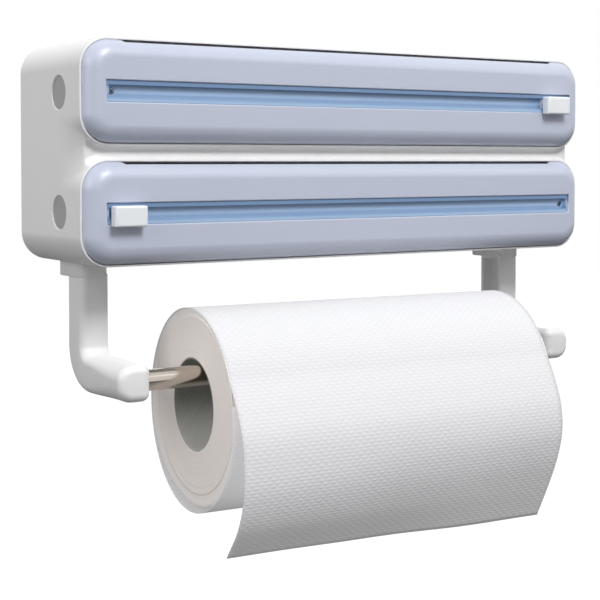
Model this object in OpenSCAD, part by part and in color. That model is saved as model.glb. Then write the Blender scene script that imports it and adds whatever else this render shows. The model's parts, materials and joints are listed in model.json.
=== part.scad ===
// Wall-mounted kitchen roll dispenser: two film pods over a paper roll bar.
// X runs to the right, Y towards the wall and Z up; the wall is the plane Y = 0
// and the origin is the middle of the four wall screws. Sizes are in millimetres.

/* [Case] */
// Width of the case
case_w = 390; // [376:1:420]
// Height of the case
case_h = 134; // [132:0.5:140]
// Depth from the wall to the front rim
case_d = 89.5; // [88:0.5:96]
// Corner radius of the case, seen from the front
corner_r = 18; // [17:0.5:20]
// Thickness of the case walls
wall = 2.2; // [2:0.1:2.6]
// Thickness of the rim that shows round each cover
rim = 1.2; // [1:0.1:1.4]
// Depth of the rebate behind the rim
rebate_d = 6.5; // [6:0.5:9]
// Gap between the two pods at the rim
waist_gap = 8.2; // [7:0.1:9.5]
// Depth of the waist behind the rim
waist_d = 5.5; // [5:0.5:8]
// Radius of the hollow that blends the waist into the pods
cove_r = 4.5; // [3.5:0.1:5]
// Thickness of the waist's front wall
waist_t = 3.5; // [2.5:0.5:5]
// Radius of the waist's round ends, seen from above
waist_end_r = 72; // [60:1:90]
// Distance from the wall where the round ends begin
waist_end_y = 57; // [52:1:60]

/* [Wall screws] */
// Distance between the left and right wall screws
wall_screw_span = 300; // [200:5:310]
// Radius of a wall screw hole
wall_screw_r = 2.4; // [2:0.1:3]
// Radius of the boss round a wall screw hole
wall_boss_r = 7; // [5:0.5:9]
// Thickness of the back wall at a boss
wall_boss_t = 4.4; // [3.5:0.1:6]

/* [Covers] */
// Distance that a cover stands in front of the rim
cover_front = 7.3; // [7.1:0.1:7.6]
// Radius of the soft front edges of a cover
cover_edge_r = 11; // [10.7:0.1:11.4]
// Thickness of a cover
cover_t = 2; // [1.8:0.1:2.2]
// Clearance between a cover and the rim
cover_gap = 0.4; // [0.35:0.05:0.5]
// Distance of a film slit's end from the side of the case
slit_in = 26; // [24:0.5:40]
// Height of the notch that makes a film slit
slit_h = 1.2; // [0.9:0.1:1.4]
// Depth of the skirt that nests behind the rim
skirt_d = 4; // [2:0.5:4.5]
// Thickness of the skirt
skirt_t = 1.6; // [1.2:0.1:2]

/* [Cover hinges] */
// Distance of the hinge axis in front of the rim
hinge_front = 1; // [0.8:0.1:1.2]
// Height of the hinge axis above the rim's inner edge
hinge_up = 7; // [6.9:0.05:7.2]
// Radius of a hinge pin
pin_r = 1.2; // [1:0.05:1.3]
// Distance of a hinge from the side of the case
hinge_in = 85; // [55:1:135]
// Width of a hinge lug
lug_w = 5; // [4:0.5:8]
// Radius of the round end of a hinge lug
lug_r = 2.5; // [2.3:0.1:2.6]
// Width of a hinge ear in the cover
ear_w = 3; // [2.5:0.5:5]

/* [Cutters] */
// Distance of a cutter rail's end from the side of the case
rail_in = 14; // [13:0.5:16]
// Height of a cutter rail
rail_h = 12.2; // [11.6:0.1:13]
// Depth of a cutter rail
rail_d = 5; // [4.9:0.1:5.2]
// Depth of the rail's front below the cover face
rail_sunk = 1; // [0.8:0.1:1.2]
// Thickness of the rail's floor
rail_floor = 1.6; // [1.4:0.1:1.7]
// Thickness of the rail's side walls
rail_wall = 1.3; // [1:0.1:1.5]
// Reach of the rail's lips over the slider foot
rail_lip = 1.2; // [1:0.1:1.4]
// Thickness of the rail's lips
rail_lip_t = 1.1; // [0.9:0.1:1.2]
// Width of a slider
slider_w = 21; // [19:0.1:24]
// Height of a slider
slider_h = 12.4; // [11:0.1:14]
// Depth of a slider's head
slider_d = 7; // [5:0.5:9]
// Drop of a slider's head below the middle of the rail
slider_drop = 1.4; // [0:0.1:2]
// Distance of the parked upper slider from the rail's right end
upper_park_in = 15.5; // [15:0.5:60]
// Distance of the parked lower slider from the rail's left end
lower_park_in = 12; // [12:0.5:60]
// Thickness of a blade
blade_t = 0.4; // [0.3:0.05:0.6]

/* [Buttons] */
// Radius of a button
button_r = 9.9; // [8.5:0.1:10.5]
// Distance of a button from the wall
button_y = 59; // [57:0.5:61]
// Depth of a button's face below the case side
button_sunk = 0.8; // [0.4:0.1:1.2]
// Travel of a button
button_travel = 3; // [2.8:0.1:3.6]
// Thickness of the sleeve
sleeve_t = 1.6; // [1.2:0.1:2]
// Radius of the button's stem
stem_r = 3.5; // [3:0.1:4]
// Mean radius of a button spring
spring_r = 6.2; // [5.6:0.1:7]
// Radius of the button spring's wire
spring_wire_r = 0.45; // [0.3:0.05:0.5]
// Turns of a button spring
spring_turns = 3; // [2:1:4]
// Reach of the catch that the latch hooks behind
catch_h = 2.1; // [1.6:0.1:2.1]
// Width of a latch tongue
tongue_w = 7; // [5:0.5:8]
// Thickness of a latch tongue
tongue_t = 1.6; // [1.2:0.1:2]

/* [Arms] */
// Distance of an arm's middle from the side of the case
arm_side = 27.25; // [23:0.25:40]
// Width of an arm
arm_w = 18.3; // [17:0.1:20]
// Depth of an arm's leg, and height of its foot
arm_d = 22; // [20:0.5:23]
// Distance of the leg from the wall
arm_y = 27.4; // [24:0.2:32]
// Inner radius of the bend
bend_r = 6; // [4:0.5:10]
// Height of the bar axis, from the middle of the case
bar_z = -134.8; // [-150:0.2:-130]
// Distance of the foot's end from the wall
foot_y = 103; // [101:0.5:108]
// Radius of an arm's outer long edges
arm_edge_r = 5; // [3:0.5:6]
// Radius of an arm's inner long edges
arm_inner_r = 1.2; // [0.8:0.1:1.6]
// Radius of the foot's end, seen from the side
foot_end_r = 8.5; // [5:0.5:9]
// Radius of the foot's end, seen from above
foot_side_r = 7.5; // [4:0.5:8]
// Wall thickness of an arm
arm_t = 2.4; // [2:0.1:3]
// Depth of the recess in an arm's inner face
recess_d = 9; // [4:0.5:12]
// Distance of the flange plate's back edge from the wall
plate_y = 15; // [10:0.5:18]
// Height of the flange plate
plate_h = 9.2; // [8.8:0.2:12]
// How far the flange plate stands out beside the leg
plate_lip = 0.7; // [0.4:0.1:1.5]

/* [Bar] */
// Distance of the bar axis from the wall
bar_y = 91.5; // [90:0.5:93]
// Radius of the bar
bar_r = 6.4; // [5.6:0.1:7]
// Wall thickness of the bar tube
bar_t = 0.9; // [0.7:0.1:1.1]
// Depth of the sockets in the feet
socket_d = 8; // [6:0.5:9]
// Travel of the plunger into the bar tube
plunger_travel = 9; // [8:0.5:12]
// Length of the plunger's thick end
plunger_head = 38; // [30:1:44]
// Length of the plunger's rod inside the tube
plunger_grip = 60; // [40:1:70]
// Turns of the spring in the bar
bar_spring_turns = 10; // [6:1:12]

/* [Paper roll] */
// Length of the paper roll
roll_l = 234; // [210:1:240]
// Radius of the wound paper
roll_r = 53.8; // [40:0.1:53.8]
// Inner radius of the cardboard core
core_r = 27.6; // [26:0.1:30]
// Wall thickness of the core
core_t = 1; // [0.6:0.1:1.5]
// Turn of the roll on the bar, seen from above
roll_skew = 4; // [0:0.5:4.5]
// Sideways place of the roll on the bar
roll_x = -1.5; // [-10:0.5:10]
// Half depth of the loose outer wrap
wrap_ry = 60.3; // [60.3:0.1:63]
// Half height of the loose outer wrap
wrap_rz = 63; // [63:0.1:66]
// Thickness of the loose paper
paper_t = 0.6; // [0.4:0.05:0.8]
// Drop of the hanging sheet's end below the roll's middle
tail_drop = 86; // [76:1:110]

/* [Hidden] */
$fn = 64;

// Clearances: press for parts driven home, slip for pins, run for sliding shafts.
// Cuts reach past a surface by eps or over.
eps = 0.01;
over = 1;
press = 0.02;
slip = 0.05;
run = 0.08;
clear = 0.3;

// Pods: the upper one sits at +pod_z and the lower one at -pod_z
pod_h = (case_h - waist_gap) / 2;
pod_z = (waist_gap + pod_h) / 2;
floor_y = case_d - waist_d;
waist_hollow_in = 9;
waist_hollow_w = case_w - 2 * waist_hollow_in;
open_w = case_w - 2 * rim;
open_h = pod_h - 2 * rim;
open_r = corner_r - rim;
room_w = case_w - 2 * wall;
room_h = pod_h - 2 * wall;
room_r = corner_r - wall;

// Cover outline, and the flat part of its face inside the soft edges
cover_w = open_w - 2 * cover_gap;
cover_h = open_h - 2 * cover_gap;
cover_r = open_r - cover_gap;
edge_back = cover_edge_r - cover_front;
edge_reach = round(100 * sqrt(pow(cover_edge_r, 2) - pow(edge_back, 2))) / 100;
face_w = cover_w - 2 * edge_reach;
face_h = cover_h - 2 * edge_reach;
face_r = cover_r - edge_reach;
skirt_low = -8;
skirt_lap = 0.5;
skirt_in = 0.3;
slit_w = case_w - 2 * slit_in;
slit_lead = 3;
slit_slope = 1.8;
slit_d = 2.6;

// Hinge axis of a pod, its lug's goose neck and the ears in the cover
hinge_y = case_d + hinge_front;
hinge_z = -open_h / 2 + hinge_up;
hinge_x = case_w / 2 - hinge_in;
hinge_side = 0.35;
neck_back = 9.2;
neck_up = 10.5;
neck_foot = 1.3;
neck_w = 4.4;
ear_r = 5.5;
ear_at = lug_w / 2 + hinge_side + ear_w / 2;
hinge_span = 2 * (hinge_x + ear_at + ear_w);

// Cutter stack, measured forwards from the rim
rail_l = case_w - 2 * rail_in;
rail_front = cover_front - rail_sunk;
rail_back = rail_front - rail_d;
pocket_gap = 0.2;
pocket_wall = 1.6;
pocket_floor = 2.4;
pocket_back = rail_back - pocket_floor;
groove_h = rail_h - 2 * rail_wall;
foot_low = rail_back + rail_floor + clear;
foot_high = rail_front - rail_lip_t - clear;
foot_h = groove_h - 2 * clear;
neck_h = foot_h - 2 * rail_lip;
upper_park = rail_l / 2 - upper_park_in;
lower_park = lower_park_in - rail_l / 2;
slider_step = 2;
foot_w = slider_w - 2 * slider_step;
neck_l = slider_w - 4 * slider_step;
head_low = cover_front + clear;
slider_edge_r = 1.6;
blade_reach = 2.4;
blade_bevel = 1.8;
blade_margin = 0.2;
blade_low = foot_low + blade_margin;
blade_high = head_low - blade_margin;
blade_gap = 0.05;
rail_screw_in = 4.4;
rail_screw_r = 1.1;
rail_screw_head_r = 2.2;
rail_screw_head_l = 1.3;
rail_screw_l = 3.4;
rail_screw_sunk = 0.1;

// Button stack, measured inwards from the outside of the case
bore_r = button_r + run;
bore_edge = 0.6;
flange_lip = 1.7;
flange_r = button_r + flange_lip;
flange_t = 1.8;
flange_at = wall + clear;
sleeve_gap = 0.5;
sleeve_r = flange_r + sleeve_gap;
spigot_l = 3;
spigot_t = 1.6;
stop_gap = 0.7;
sleeve_end = flange_at + flange_t + button_travel + stop_gap + spigot_l;
retainer_t = 1.6;
stem_proud = 0.1;
stem_end = sleeve_end + retainer_t + catch_h + stem_proud;
spring_gap = 0.1;

// Latch: a catch on the retainer, and a tongue on the cover that hooks behind it
catch_y = 6.6;
catch_l = 2.6;
catch_w = 8;
hook_gap = 0.4;
hook_l = 2.6;
tongue_gap = 0.4;
tongue_at = stem_end + tongue_gap;
tongue_foot_l = 8.4;
tongue_foot_t = 2;

// Arms
arm_x = case_w / 2 - arm_side;
arm_in = arm_x - arm_w / 2;
bend_y = arm_y + arm_d + bend_r;
bend_z = bar_z + arm_d / 2 + bend_r;
bend_mid = bend_r + arm_d / 2;
plate_front = arm_y + arm_d + plate_lip;
plate_low = -case_h / 2 - plate_h;
plate_r = 2.5;
boss_t = 2.8;
boss_r = bar_r + boss_t;
arm_screw_r = 1.75;
arm_screw_head_r = 3.5;
arm_screw_head_h = 2.4;
arm_screw_l = 10;
arm_screw_in = 5;
arm_screw_ys = [plate_y + arm_screw_in, plate_front - 1.5 * arm_screw_in];

// Bar
bar_end = arm_in + socket_d - clear;
bore_bar_r = bar_r - bar_t;
plunger_r = bore_bar_r - run;
tube_gap = 1;
tube_end = bar_end - plunger_head - plunger_travel - tube_gap;
rod_start = tube_end - plunger_grip;
bar_spring_l = 58;
bar_spring_wire_r = 0.6;
bar_spring_in = 1.3;
bar_spring_r = plunger_r - bar_spring_in;
bar_bore_end = rod_start - bar_spring_l;

// Paper roll: it hangs askew on the bar, so the bar clears the core at both ends
core_out = core_r + core_t;
bar_room = core_r - bar_r - clear - slip;
roll_drop = sqrt(pow(bar_room, 2) - pow(roll_l / 2 * sin(roll_skew), 2));
roll_z = bar_z - roll_drop;

// Loose wrap: an oval set back and down from the core, then the hanging sheet
wrap_back = 5;
wrap_down = 4;
wrap_from_angle = -10;
wrap_to_angle = 335;
wrap_step_angle = 5;
lead_front = 70;
lead_down = 10;
swell_front = 74;
swell_down = 45;
tip_front = 44;
tail_lead = [lead_front, -lead_down];
tail_swell = [swell_front, -swell_down];
tail_tip = [tip_front, -tail_drop];
tail_steps = 14;

white = [0.92, 0.92, 0.92];
pale_blue = [0.72, 0.75, 0.83];
rail_blue = [0.55, 0.68, 0.84];
button_grey = [0.58, 0.58, 0.59];
steel = [0.75, 0.76, 0.78];
chrome = [0.82, 0.82, 0.84];
paper = [0.96, 0.96, 0.95];
board = [0.62, 0.58, 0.53];

// Flat and solid shapes used by several pieces

module rounded_rect(w, h, r) {
    square([w - 2 * r, h], center = true);
    square([w, h - 2 * r], center = true);
    for (x = [-1, 1], y = [-1, 1]) {
        translate([x * (w / 2 - r), y * (h / 2 - r)]) circle(r);
    }
}

// Rounded slab seen from the front, between two distances from the wall
module slab(w, h, r, near, far) {
    translate([0, -near, 0])
        rotate([90, 0, 0])
            linear_extrude(far - near) rounded_rect(w, h, r);
}

// Block between two distances from the wall
module block(w, h, near, far) {
    translate([-w / 2, -far, -h / 2]) cube([w, far - near, h]);
}

// Round bar along X
module rod(r, x0, x1) {
    translate([x0, 0, 0])
        rotate([0, 90, 0]) cylinder(r = r, h = x1 - x0);
}

// Extrusion along X of a flat shape whose x is the distance from the wall and whose y is up
module side_plate(w) {
    rotate([90, 0, -90])
        translate([0, 0, -w / 2])
            linear_extrude(w) children();
}

// Straight link with round ends, drawn flat
module link(a, b, w) {
    span = b - a;
    translate(a)
        rotate(atan2(span.y, span.x))
            translate([0, -w / 2]) square([norm(span), w]);
    for (p = [a, b]) {
        translate(p) circle(w / 2);
    }
}

// Round wire wound along X from x = 0, as one unbroken tube
coil_rings = 8;
coil_sides = 6;

function coil_point(r, wire_r, pitch, i, k) =
    let (a = 360 * i / coil_rings, b = 360 * k / coil_sides, q = r + wire_r * cos(b))
    [wire_r + pitch * i / coil_rings + wire_r * sin(b), q * cos(a), q * sin(a)];

module coil(name, r, wire_r, turns, l) {
    n = coil_sides;
    rings = coil_rings * turns;
    pitch = (l - 2 * wire_r) / turns;
    points = [for (i = [0:rings], k = [0:n - 1]) coil_point(r, wire_r, pitch, i, k)];
    sleeve = [
        for (i = [0:rings - 1], k = [0:n - 1], half = [0, 1])
        let (p = n * i + k, q = n * i + (k + 1) % n)
        half == 0 ? [p, q, p + n] : [q, q + n, p + n]
    ];
    ends = [
        for (k = [1:n - 2], far = [0, 1])
        let (o = n * rings)
        far == 0 ? [0, k + 1, k] : [o, o + k, o + k + 1]
    ];
    turn_gaps = [
        for (i = [0:rings - coil_rings], k = [0:n - 1], m = [0:n - 1])
        norm(points[n * i + k] - points[n * (i + coil_rings) + m])
    ];
    echo(str(name, " least gap between turns"), min(turn_gaps));
    polyhedron(points, concat(sleeve, ends));
}

module at_pod(level) {
    translate([0, 0, level * pod_z]) children();
}

// Case

// Concave quarter between a pod's edge and the waist floor
module cove() {
    difference() {
        translate([-eps, -eps]) square(cove_r + eps);
        translate([cove_r, cove_r]) circle(cove_r);
    }
}

// Cove along a pod's waist edge and round its two corners; the edge faces down for side = -1
module pod_cove(side) {
    straight = case_w - 2 * corner_r;
    translate([0, 0, side * pod_h / 2])
        mirror([0, 0, (1 - side) / 2])
            translate([-straight / 2, -floor_y, 0])
                rotate([90, 0, 90])
                    linear_extrude(straight)
                        mirror([1, 0]) cove();
    for (x = [-1, 1]) {
        translate([x * straight / 2, -floor_y, side * (pod_h / 2 - corner_r)])
            rotate([90, 0, 0])
                rotate_extrude()
                    translate([corner_r, 0]) cove();
    }
}

// Everything behind the waist's round ends
module waist_plan() {
    end_x = case_w / 2 - waist_end_r;
    translate([0, 0, -case_h / 2])
        mirror([0, 1, 0])
            linear_extrude(case_h) {
                translate([-end_x, 0]) square([2 * end_x, case_d]);
                translate([-case_w / 2, 0]) square([case_w, waist_end_y]);
                for (x = [-end_x, end_x]) {
                    translate([x, waist_end_y]) circle(waist_end_r);
                }
            }
}

module waist() {
    intersection() {
        union() {
            slab(case_w, case_h, corner_r, 0, floor_y);
            intersection() {
                slab(case_w, case_h, corner_r, floor_y - eps, case_d);
                for (level = [-1, 1]) {
                    at_pod(level) pod_cove(-level);
                }
            }
        }
        waist_plan();
    }
}

module case_outside() {
    waist();
    for (level = [-1, 1]) {
        at_pod(level) slab(case_w, pod_h, corner_r, 0, case_d);
    }
}

module hinge_lug() {
    axis = [hinge_y, hinge_z];
    elbow = axis + [-neck_back, neck_up];
    foot = [elbow.x - neck_foot, -room_h / 2 - eps];
    side_plate(lug_w) {
        translate(axis) circle(lug_r);
        link(axis, elbow, neck_w);
        intersection() {
            link(elbow, foot, neck_w);
            translate([0, foot.y]) square([case_d, room_h]);
        }
    }
}

// Sleeve on the inside of a case side, with x running inwards from the outside
module button_sleeve() {
    difference() {
        rod(sleeve_r + sleeve_t, wall - eps, sleeve_end);
        rod(sleeve_r, wall - 2 * eps, sleeve_end + eps);
    }
}

module button_hole() {
    rod(bore_r, -eps, wall + eps);
    translate([-eps, 0, 0])
        rotate([0, 90, 0])
            cylinder(r1 = bore_r + bore_edge, r2 = bore_r, h = bore_edge);
}

// Puts a piece that is drawn inwards from a case side at each button, or at one of them
module at_button(side, level) {
    translate([0, -button_y, level * pod_z])
        mirror([(1 + side) / 2, 0, 0])
            translate([-case_w / 2, 0, 0]) children();
}

module pod_room() {
    slab(room_w, room_h, room_r, wall, case_d + eps);
    slab(open_w, open_h, open_r, case_d - rebate_d, case_d + eps);
}

module wall_bosses(r, near, far) {
    for (x = [-1, 1]) {
        translate([x * wall_screw_span / 2, -near, 0])
            rotate([90, 0, 0]) cylinder(r = r, h = far - near);
    }
}

module arm_screw_holes() {
    for (x = [-arm_x, arm_x], y = arm_screw_ys) {
        translate([x, -y, -case_h / 2 - eps])
            cylinder(r = arm_screw_r + slip, h = wall + 2 * eps);
    }
}

module back_case() {
    color(white)
        difference() {
            union() {
                difference() {
                    case_outside();
                    for (level = [-1, 1]) {
                        at_pod(level) pod_room();
                    }
                    block(waist_hollow_w, waist_gap, -eps, floor_y - waist_t);
                }
                for (level = [-1, 1]) {
                    at_pod(level) wall_bosses(wall_boss_r, 0, wall_boss_t);
                    for (x = [-hinge_x, hinge_x]) {
                        at_pod(level) translate([x, 0, 0]) hinge_lug();
                    }
                    for (side = [-1, 1]) {
                        at_button(side, level) button_sleeve();
                    }
                }
            }
            for (level = [-1, 1]) {
                at_pod(level) wall_bosses(wall_screw_r, -eps, wall_boss_t + eps);
                at_pod(level) hinge_axis(pin_r + slip, hinge_span);
                for (side = [-1, 1]) {
                    at_button(side, level) button_hole();
                }
            }
            arm_screw_holes();
        }
}

// Arms

// Leg, bend and foot swept from one section; the section's x points away from the bend's middle
module arm_sweep(foot_end) {
    translate([0, -bend_y + bend_mid, bend_z])
        linear_extrude(plate_low - bend_z + plate_h / 2) mirror([1, -1]) children();
    translate([0, -bend_y, bend_z])
        rotate([0, 90, 0])
            rotate_extrude(angle = 90) translate([bend_mid, 0]) children();
    translate([0, -bend_y, bar_z])
        rotate([90, 0, 0])
            linear_extrude(foot_end - bend_y) rotate(-90) children();
}

// Section with soft outer edges; its inner face, with tighter edges, points towards -y
module arm_section() {
    rounded_rect(arm_d, arm_w, arm_edge_r);
    translate([0, -arm_w / 4]) rounded_rect(arm_d, arm_w / 2, arm_inner_r);
}

// Right arm drawn with its middle at x = 0 and its inner face towards -x
module arm_body() {
    intersection() {
        arm_sweep(foot_y) arm_section();
        arm_end_shape();
    }
    translate([0, -(plate_y + plate_front) / 2, plate_low])
        linear_extrude(plate_h)
            rounded_rect(arm_w + 2 * plate_lip, plate_front - plate_y, plate_r);
}

// Everything behind the foot's rounded end
module arm_end_shape() {
    tall = 2 * (plate_low - bar_z) + 4 * arm_d;
    back = bend_y;
    intersection() {
        side_plate(2 * arm_w) {
            translate([foot_y / 2, bar_z]) rounded_rect(foot_y, arm_d, foot_end_r);
            translate([back / 2, 0]) square([back, 2 * tall], center = true);
        }
        translate([0, -foot_y / 2, -tall])
            linear_extrude(2 * tall) rounded_rect(arm_w, foot_y, foot_side_r);
    }
}

module arm_recess() {
    intersection() {
        difference() {
            arm_sweep(foot_y - foot_end_r)
                translate([0, -arm_w / 2 + recess_d / 2 - eps])
                    square([arm_d - 2 * arm_t, recess_d], center = true);
            translate([0, -bar_y, bar_z]) rod(boss_r, -arm_w, arm_w);
        }
        translate([-arm_w, -bar_y, bar_z - arm_d])
            cube([2 * arm_w, bar_y, plate_low - bar_z + arm_d - eps]);
    }
}

module arm() {
    difference() {
        arm_body();
        arm_recess();
        translate([0, -bar_y, bar_z])
            rod(bar_r + slip, -arm_w / 2 - eps, -arm_w / 2 + socket_d);
        for (y = arm_screw_ys) {
            translate([0, -y, -case_h / 2 + wall - arm_screw_l - clear])
                cylinder(r = arm_screw_r + press, h = arm_screw_l);
        }
    }
}

module right_arm() {
    color(white) translate([arm_x, 0, 0]) arm();
}

module left_arm() {
    color(white) mirror([1, 0, 0]) translate([arm_x, 0, 0]) arm();
}

// Pan-head screws up from the arms' plates to the floor of the lower pod
module arm_screws() {
    color(steel)
        for (x = [-arm_x, arm_x], y = arm_screw_ys) {
            translate([x, -y, -case_h / 2 + wall]) {
                translate([0, 0, -arm_screw_l]) cylinder(r = arm_screw_r, h = arm_screw_l + eps);
                intersection() {
                    cylinder(r = arm_screw_head_r, h = arm_screw_head_h);
                    translate([0, 0, arm_screw_head_h - 2 * arm_screw_head_r])
                        sphere(2 * arm_screw_head_r);
                }
            }
        }
}

// Buttons

module button() {
    color(button_grey) {
        rod(button_r, button_sunk, flange_at + eps);
        rod(flange_r, flange_at, flange_at + flange_t);
        rod(stem_r, flange_at + flange_t - eps, stem_end);
    }
}

module upper_left_button() {
    at_button(-1, 1) button();
}

module upper_right_button() {
    at_button(1, 1) button();
}

module lower_left_button() {
    at_button(-1, -1) button();
}

module lower_right_button() {
    at_button(1, -1) button();
}

module button_spring(name) {
    start = flange_at + flange_t + spring_gap;
    color(steel)
        translate([start, 0, 0])
            coil(name, spring_r, spring_wire_r, spring_turns, sleeve_end - spring_gap - start);
}

module upper_left_spring() {
    at_button(-1, 1) button_spring("button spring");
}

module upper_right_spring() {
    at_button(1, 1) button_spring("button spring");
}

module lower_left_spring() {
    at_button(-1, -1) button_spring("button spring");
}

module lower_right_spring() {
    at_button(1, -1) button_spring("button spring");
}

// Cap that closes a sleeve; its spigot guides the spring and its catch holds the cover's latch
module retainer() {
    difference() {
        union() {
            rod(sleeve_r + sleeve_t, sleeve_end, sleeve_end + retainer_t);
            rod(sleeve_r - slip, sleeve_end - spigot_l, sleeve_end + eps);
            translate([sleeve_end + retainer_t - eps, catch_y, -catch_w / 2])
                cube([catch_h + eps, catch_l, catch_w]);
        }
        rod(sleeve_r - slip - spigot_t, sleeve_end - spigot_l - eps, sleeve_end);
        rod(stem_r + run, 0, sleeve_end + retainer_t + eps);
    }
}

module button_retainers() {
    color(white)
        for (side = [-1, 1], level = [-1, 1]) {
            at_button(side, level) retainer();
        }
}

// Covers

// Half of the section across a cover's edge: flat out to r, then a round edge of radius e.
// It runs from low to high in front of the rim.
module edge_section(r, e, low, high) {
    intersection() {
        union() {
            translate([0, -edge_back]) square([r, e]);
            translate([r, -edge_back]) circle(e);
        }
        translate([0, low]) square([r + e, high - low]);
    }
}

// Soft-edged front of a cover, or its hollow
module pillow(e, low, high) {
    long = face_w - 2 * face_r;
    tall = face_h - 2 * face_r;
    translate([0, -case_d, 0])
        rotate([90, 0, 0]) {
            for (turn = [0, 180]) {
                rotate([0, 0, turn]) {
                    translate([long / 2, tall / 2, 0])
                        rotate([90, 0, 0])
                            linear_extrude(tall) edge_section(face_r, e, low, high);
                    translate([-long / 2, 0, 0])
                        rotate([90, 0, 90])
                            linear_extrude(long) edge_section(face_h / 2, e, low, high);
                    translate([long / 2, tall / 2, 0])
                        rotate_extrude(angle = 90) edge_section(face_r, e, low, high);
                    translate([-long / 2, tall / 2, 0])
                        rotate(90)
                            rotate_extrude(angle = 90) edge_section(face_r, e, low, high);
                }
            }
        }
}

module hinge_axis(r, l) {
    translate([0, -hinge_y, hinge_z]) rod(r, -l / 2, l / 2);
}

// Skirt that slips behind the rim at the top corners and the sides
module skirt() {
    low = case_d - skirt_d;
    hollow = skirt_in + skirt_t;
    difference() {
        skirt_slab(skirt_in, low, case_d + skirt_lap);
        skirt_slab(hollow, low - over, case_d + over);
        translate([0, 0, skirt_low - cover_h / 2]) block(case_w, cover_h, low - over, case_d);
        translate([0, 0, cover_h / 2])
            block(slit_w + 2 * slit_lead, cover_h / 2, low - over, case_d);
    }
}

// Slab of the cover's outline, drawn in by a distance
module skirt_slab(inset, near, far) {
    slab(cover_w - 2 * inset, cover_h - 2 * inset, cover_r - inset, near, far);
}

module film_slit() {
    top = open_h / 2;
    low = cover_h / 2 - slit_h;
    half = slit_w / 2;
    translate([0, -case_d + over, 0])
        rotate([90, 0, 0])
            linear_extrude(slit_d + over)
                polygon([
                    [-half + slit_slope, low], [half - slit_slope, low],
                    [half, top], [-half, top]
                ]);
}

module hinge_ears() {
    intersection() {
        union() {
            for (x = [-hinge_x, hinge_x], side = [-1, 1]) {
                translate([x + side * ear_at, 0, 0]) hinge_axis(ear_r, ear_w);
            }
        }
        pillow(cover_edge_r - cover_t / 2, -ear_r, cover_front);
    }
}

module cover() {
    pocket_w = rail_l + 2 * pocket_gap;
    pocket_h = rail_h + 2 * pocket_gap;
    color(pale_blue)
        difference() {
            union() {
                difference() {
                    pillow(cover_edge_r, 0, cover_front);
                    pillow(cover_edge_r - cover_t, -over, cover_front - cover_t);
                }
                skirt();
                hinge_ears();
                block(
                    pocket_w + 2 * pocket_wall, pocket_h + 2 * pocket_wall,
                    case_d + pocket_back, case_d + cover_front - cover_t / 2
                );
            }
            block(pocket_w, pocket_h, case_d + rail_back, case_d + cover_front + over);
            film_slit();
            hinge_axis(pin_r + press, hinge_span);
            rail_screw_shanks(press);
        }
}

module upper_cover() {
    at_pod(1) cover();
}

module lower_cover() {
    at_pod(-1) cover();
}

module hinge_pins() {
    l = 2 * ear_at + ear_w;
    color(steel)
        for (x = [-hinge_x, hinge_x]) {
            translate([x, 0, 0]) hinge_axis(pin_r, l);
        }
}

module upper_hinge_pins() {
    at_pod(1) hinge_pins();
}

module lower_hinge_pins() {
    at_pod(-1) hinge_pins();
}

// Tongue behind each end of a cover, with a foot on the rail pocket and a hook at its tip
module latch() {
    root_y = button_y - case_d - pocket_back;
    hook_y = catch_y + catch_l + hook_gap;
    tip_y = hook_y + hook_l;
    bottom = -tongue_w / 2;
    color(white) {
        translate([tongue_at, root_y, bottom]) cube([tongue_t, tip_y - root_y, tongue_w]);
        translate([tongue_at + tongue_t - tongue_foot_l / 2, root_y, bottom])
            cube([tongue_foot_l, tongue_foot_t, tongue_w]);
        translate([0, 0, bottom])
            linear_extrude(tongue_w)
                polygon([
                    [tongue_at + eps, hook_y], [tongue_at + eps, tip_y],
                    [tongue_at - hook_l / 2, hook_y + hook_l / 2], [tongue_at - catch_h, hook_y]
                ]);
    }
}

module upper_latches() {
    for (side = [-1, 1]) {
        at_button(side, 1) latch();
    }
}

module lower_latches() {
    for (side = [-1, 1]) {
        at_button(side, -1) latch();
    }
}

// Cutters

module rail_screw_shanks(gap) {
    head = case_d + rail_back + rail_floor;
    for (x = [-1, 1]) {
        translate([x * (rail_l / 2 - rail_screw_in), -head, 0])
            rotate([-90, 0, 0]) cylinder(r = rail_screw_r + gap, h = rail_screw_l);
    }
}

// Countersunk heads, flush with the rail's floor
module rail_screw_heads(gap) {
    head = case_d + rail_back + rail_floor;
    for (x = [-1, 1]) {
        translate([x * (rail_l / 2 - rail_screw_in), -head + rail_screw_sunk, 0])
            rotate([-90, 0, 0])
                cylinder(
                    r1 = rail_screw_head_r + gap, r2 = rail_screw_r + gap,
                    h = rail_screw_head_l
                );
    }
}

module rail_screws() {
    color(steel)
        intersection() {
            union() {
                rail_screw_shanks(0);
                rail_screw_heads(0);
            }
            block(rail_l, rail_h, 0, case_d + rail_back + rail_floor - rail_screw_sunk);
        }
}

module upper_rail_screws() {
    at_pod(1) rail_screws();
}

module lower_rail_screws() {
    at_pod(-1) rail_screws();
}

module rail() {
    groove_l = rail_l - 2 * rail_wall;
    mouth_h = groove_h - 2 * rail_lip;
    groove_low = case_d + rail_back + rail_floor;
    front = case_d + rail_front;
    color(rail_blue)
        difference() {
            block(rail_l, rail_h, case_d + rail_back, front);
            block(groove_l, groove_h, groove_low, front - rail_lip_t);
            block(groove_l, mouth_h, groove_low, front + eps);
            rail_screw_shanks(slip);
            rail_screw_heads(slip);
            translate([0, -rail_screw_sunk - eps, 0]) rail_screw_heads(slip);
        }
}

module upper_rail() {
    at_pod(1) rail();
}

module lower_rail() {
    at_pod(-1) rail();
}

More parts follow.
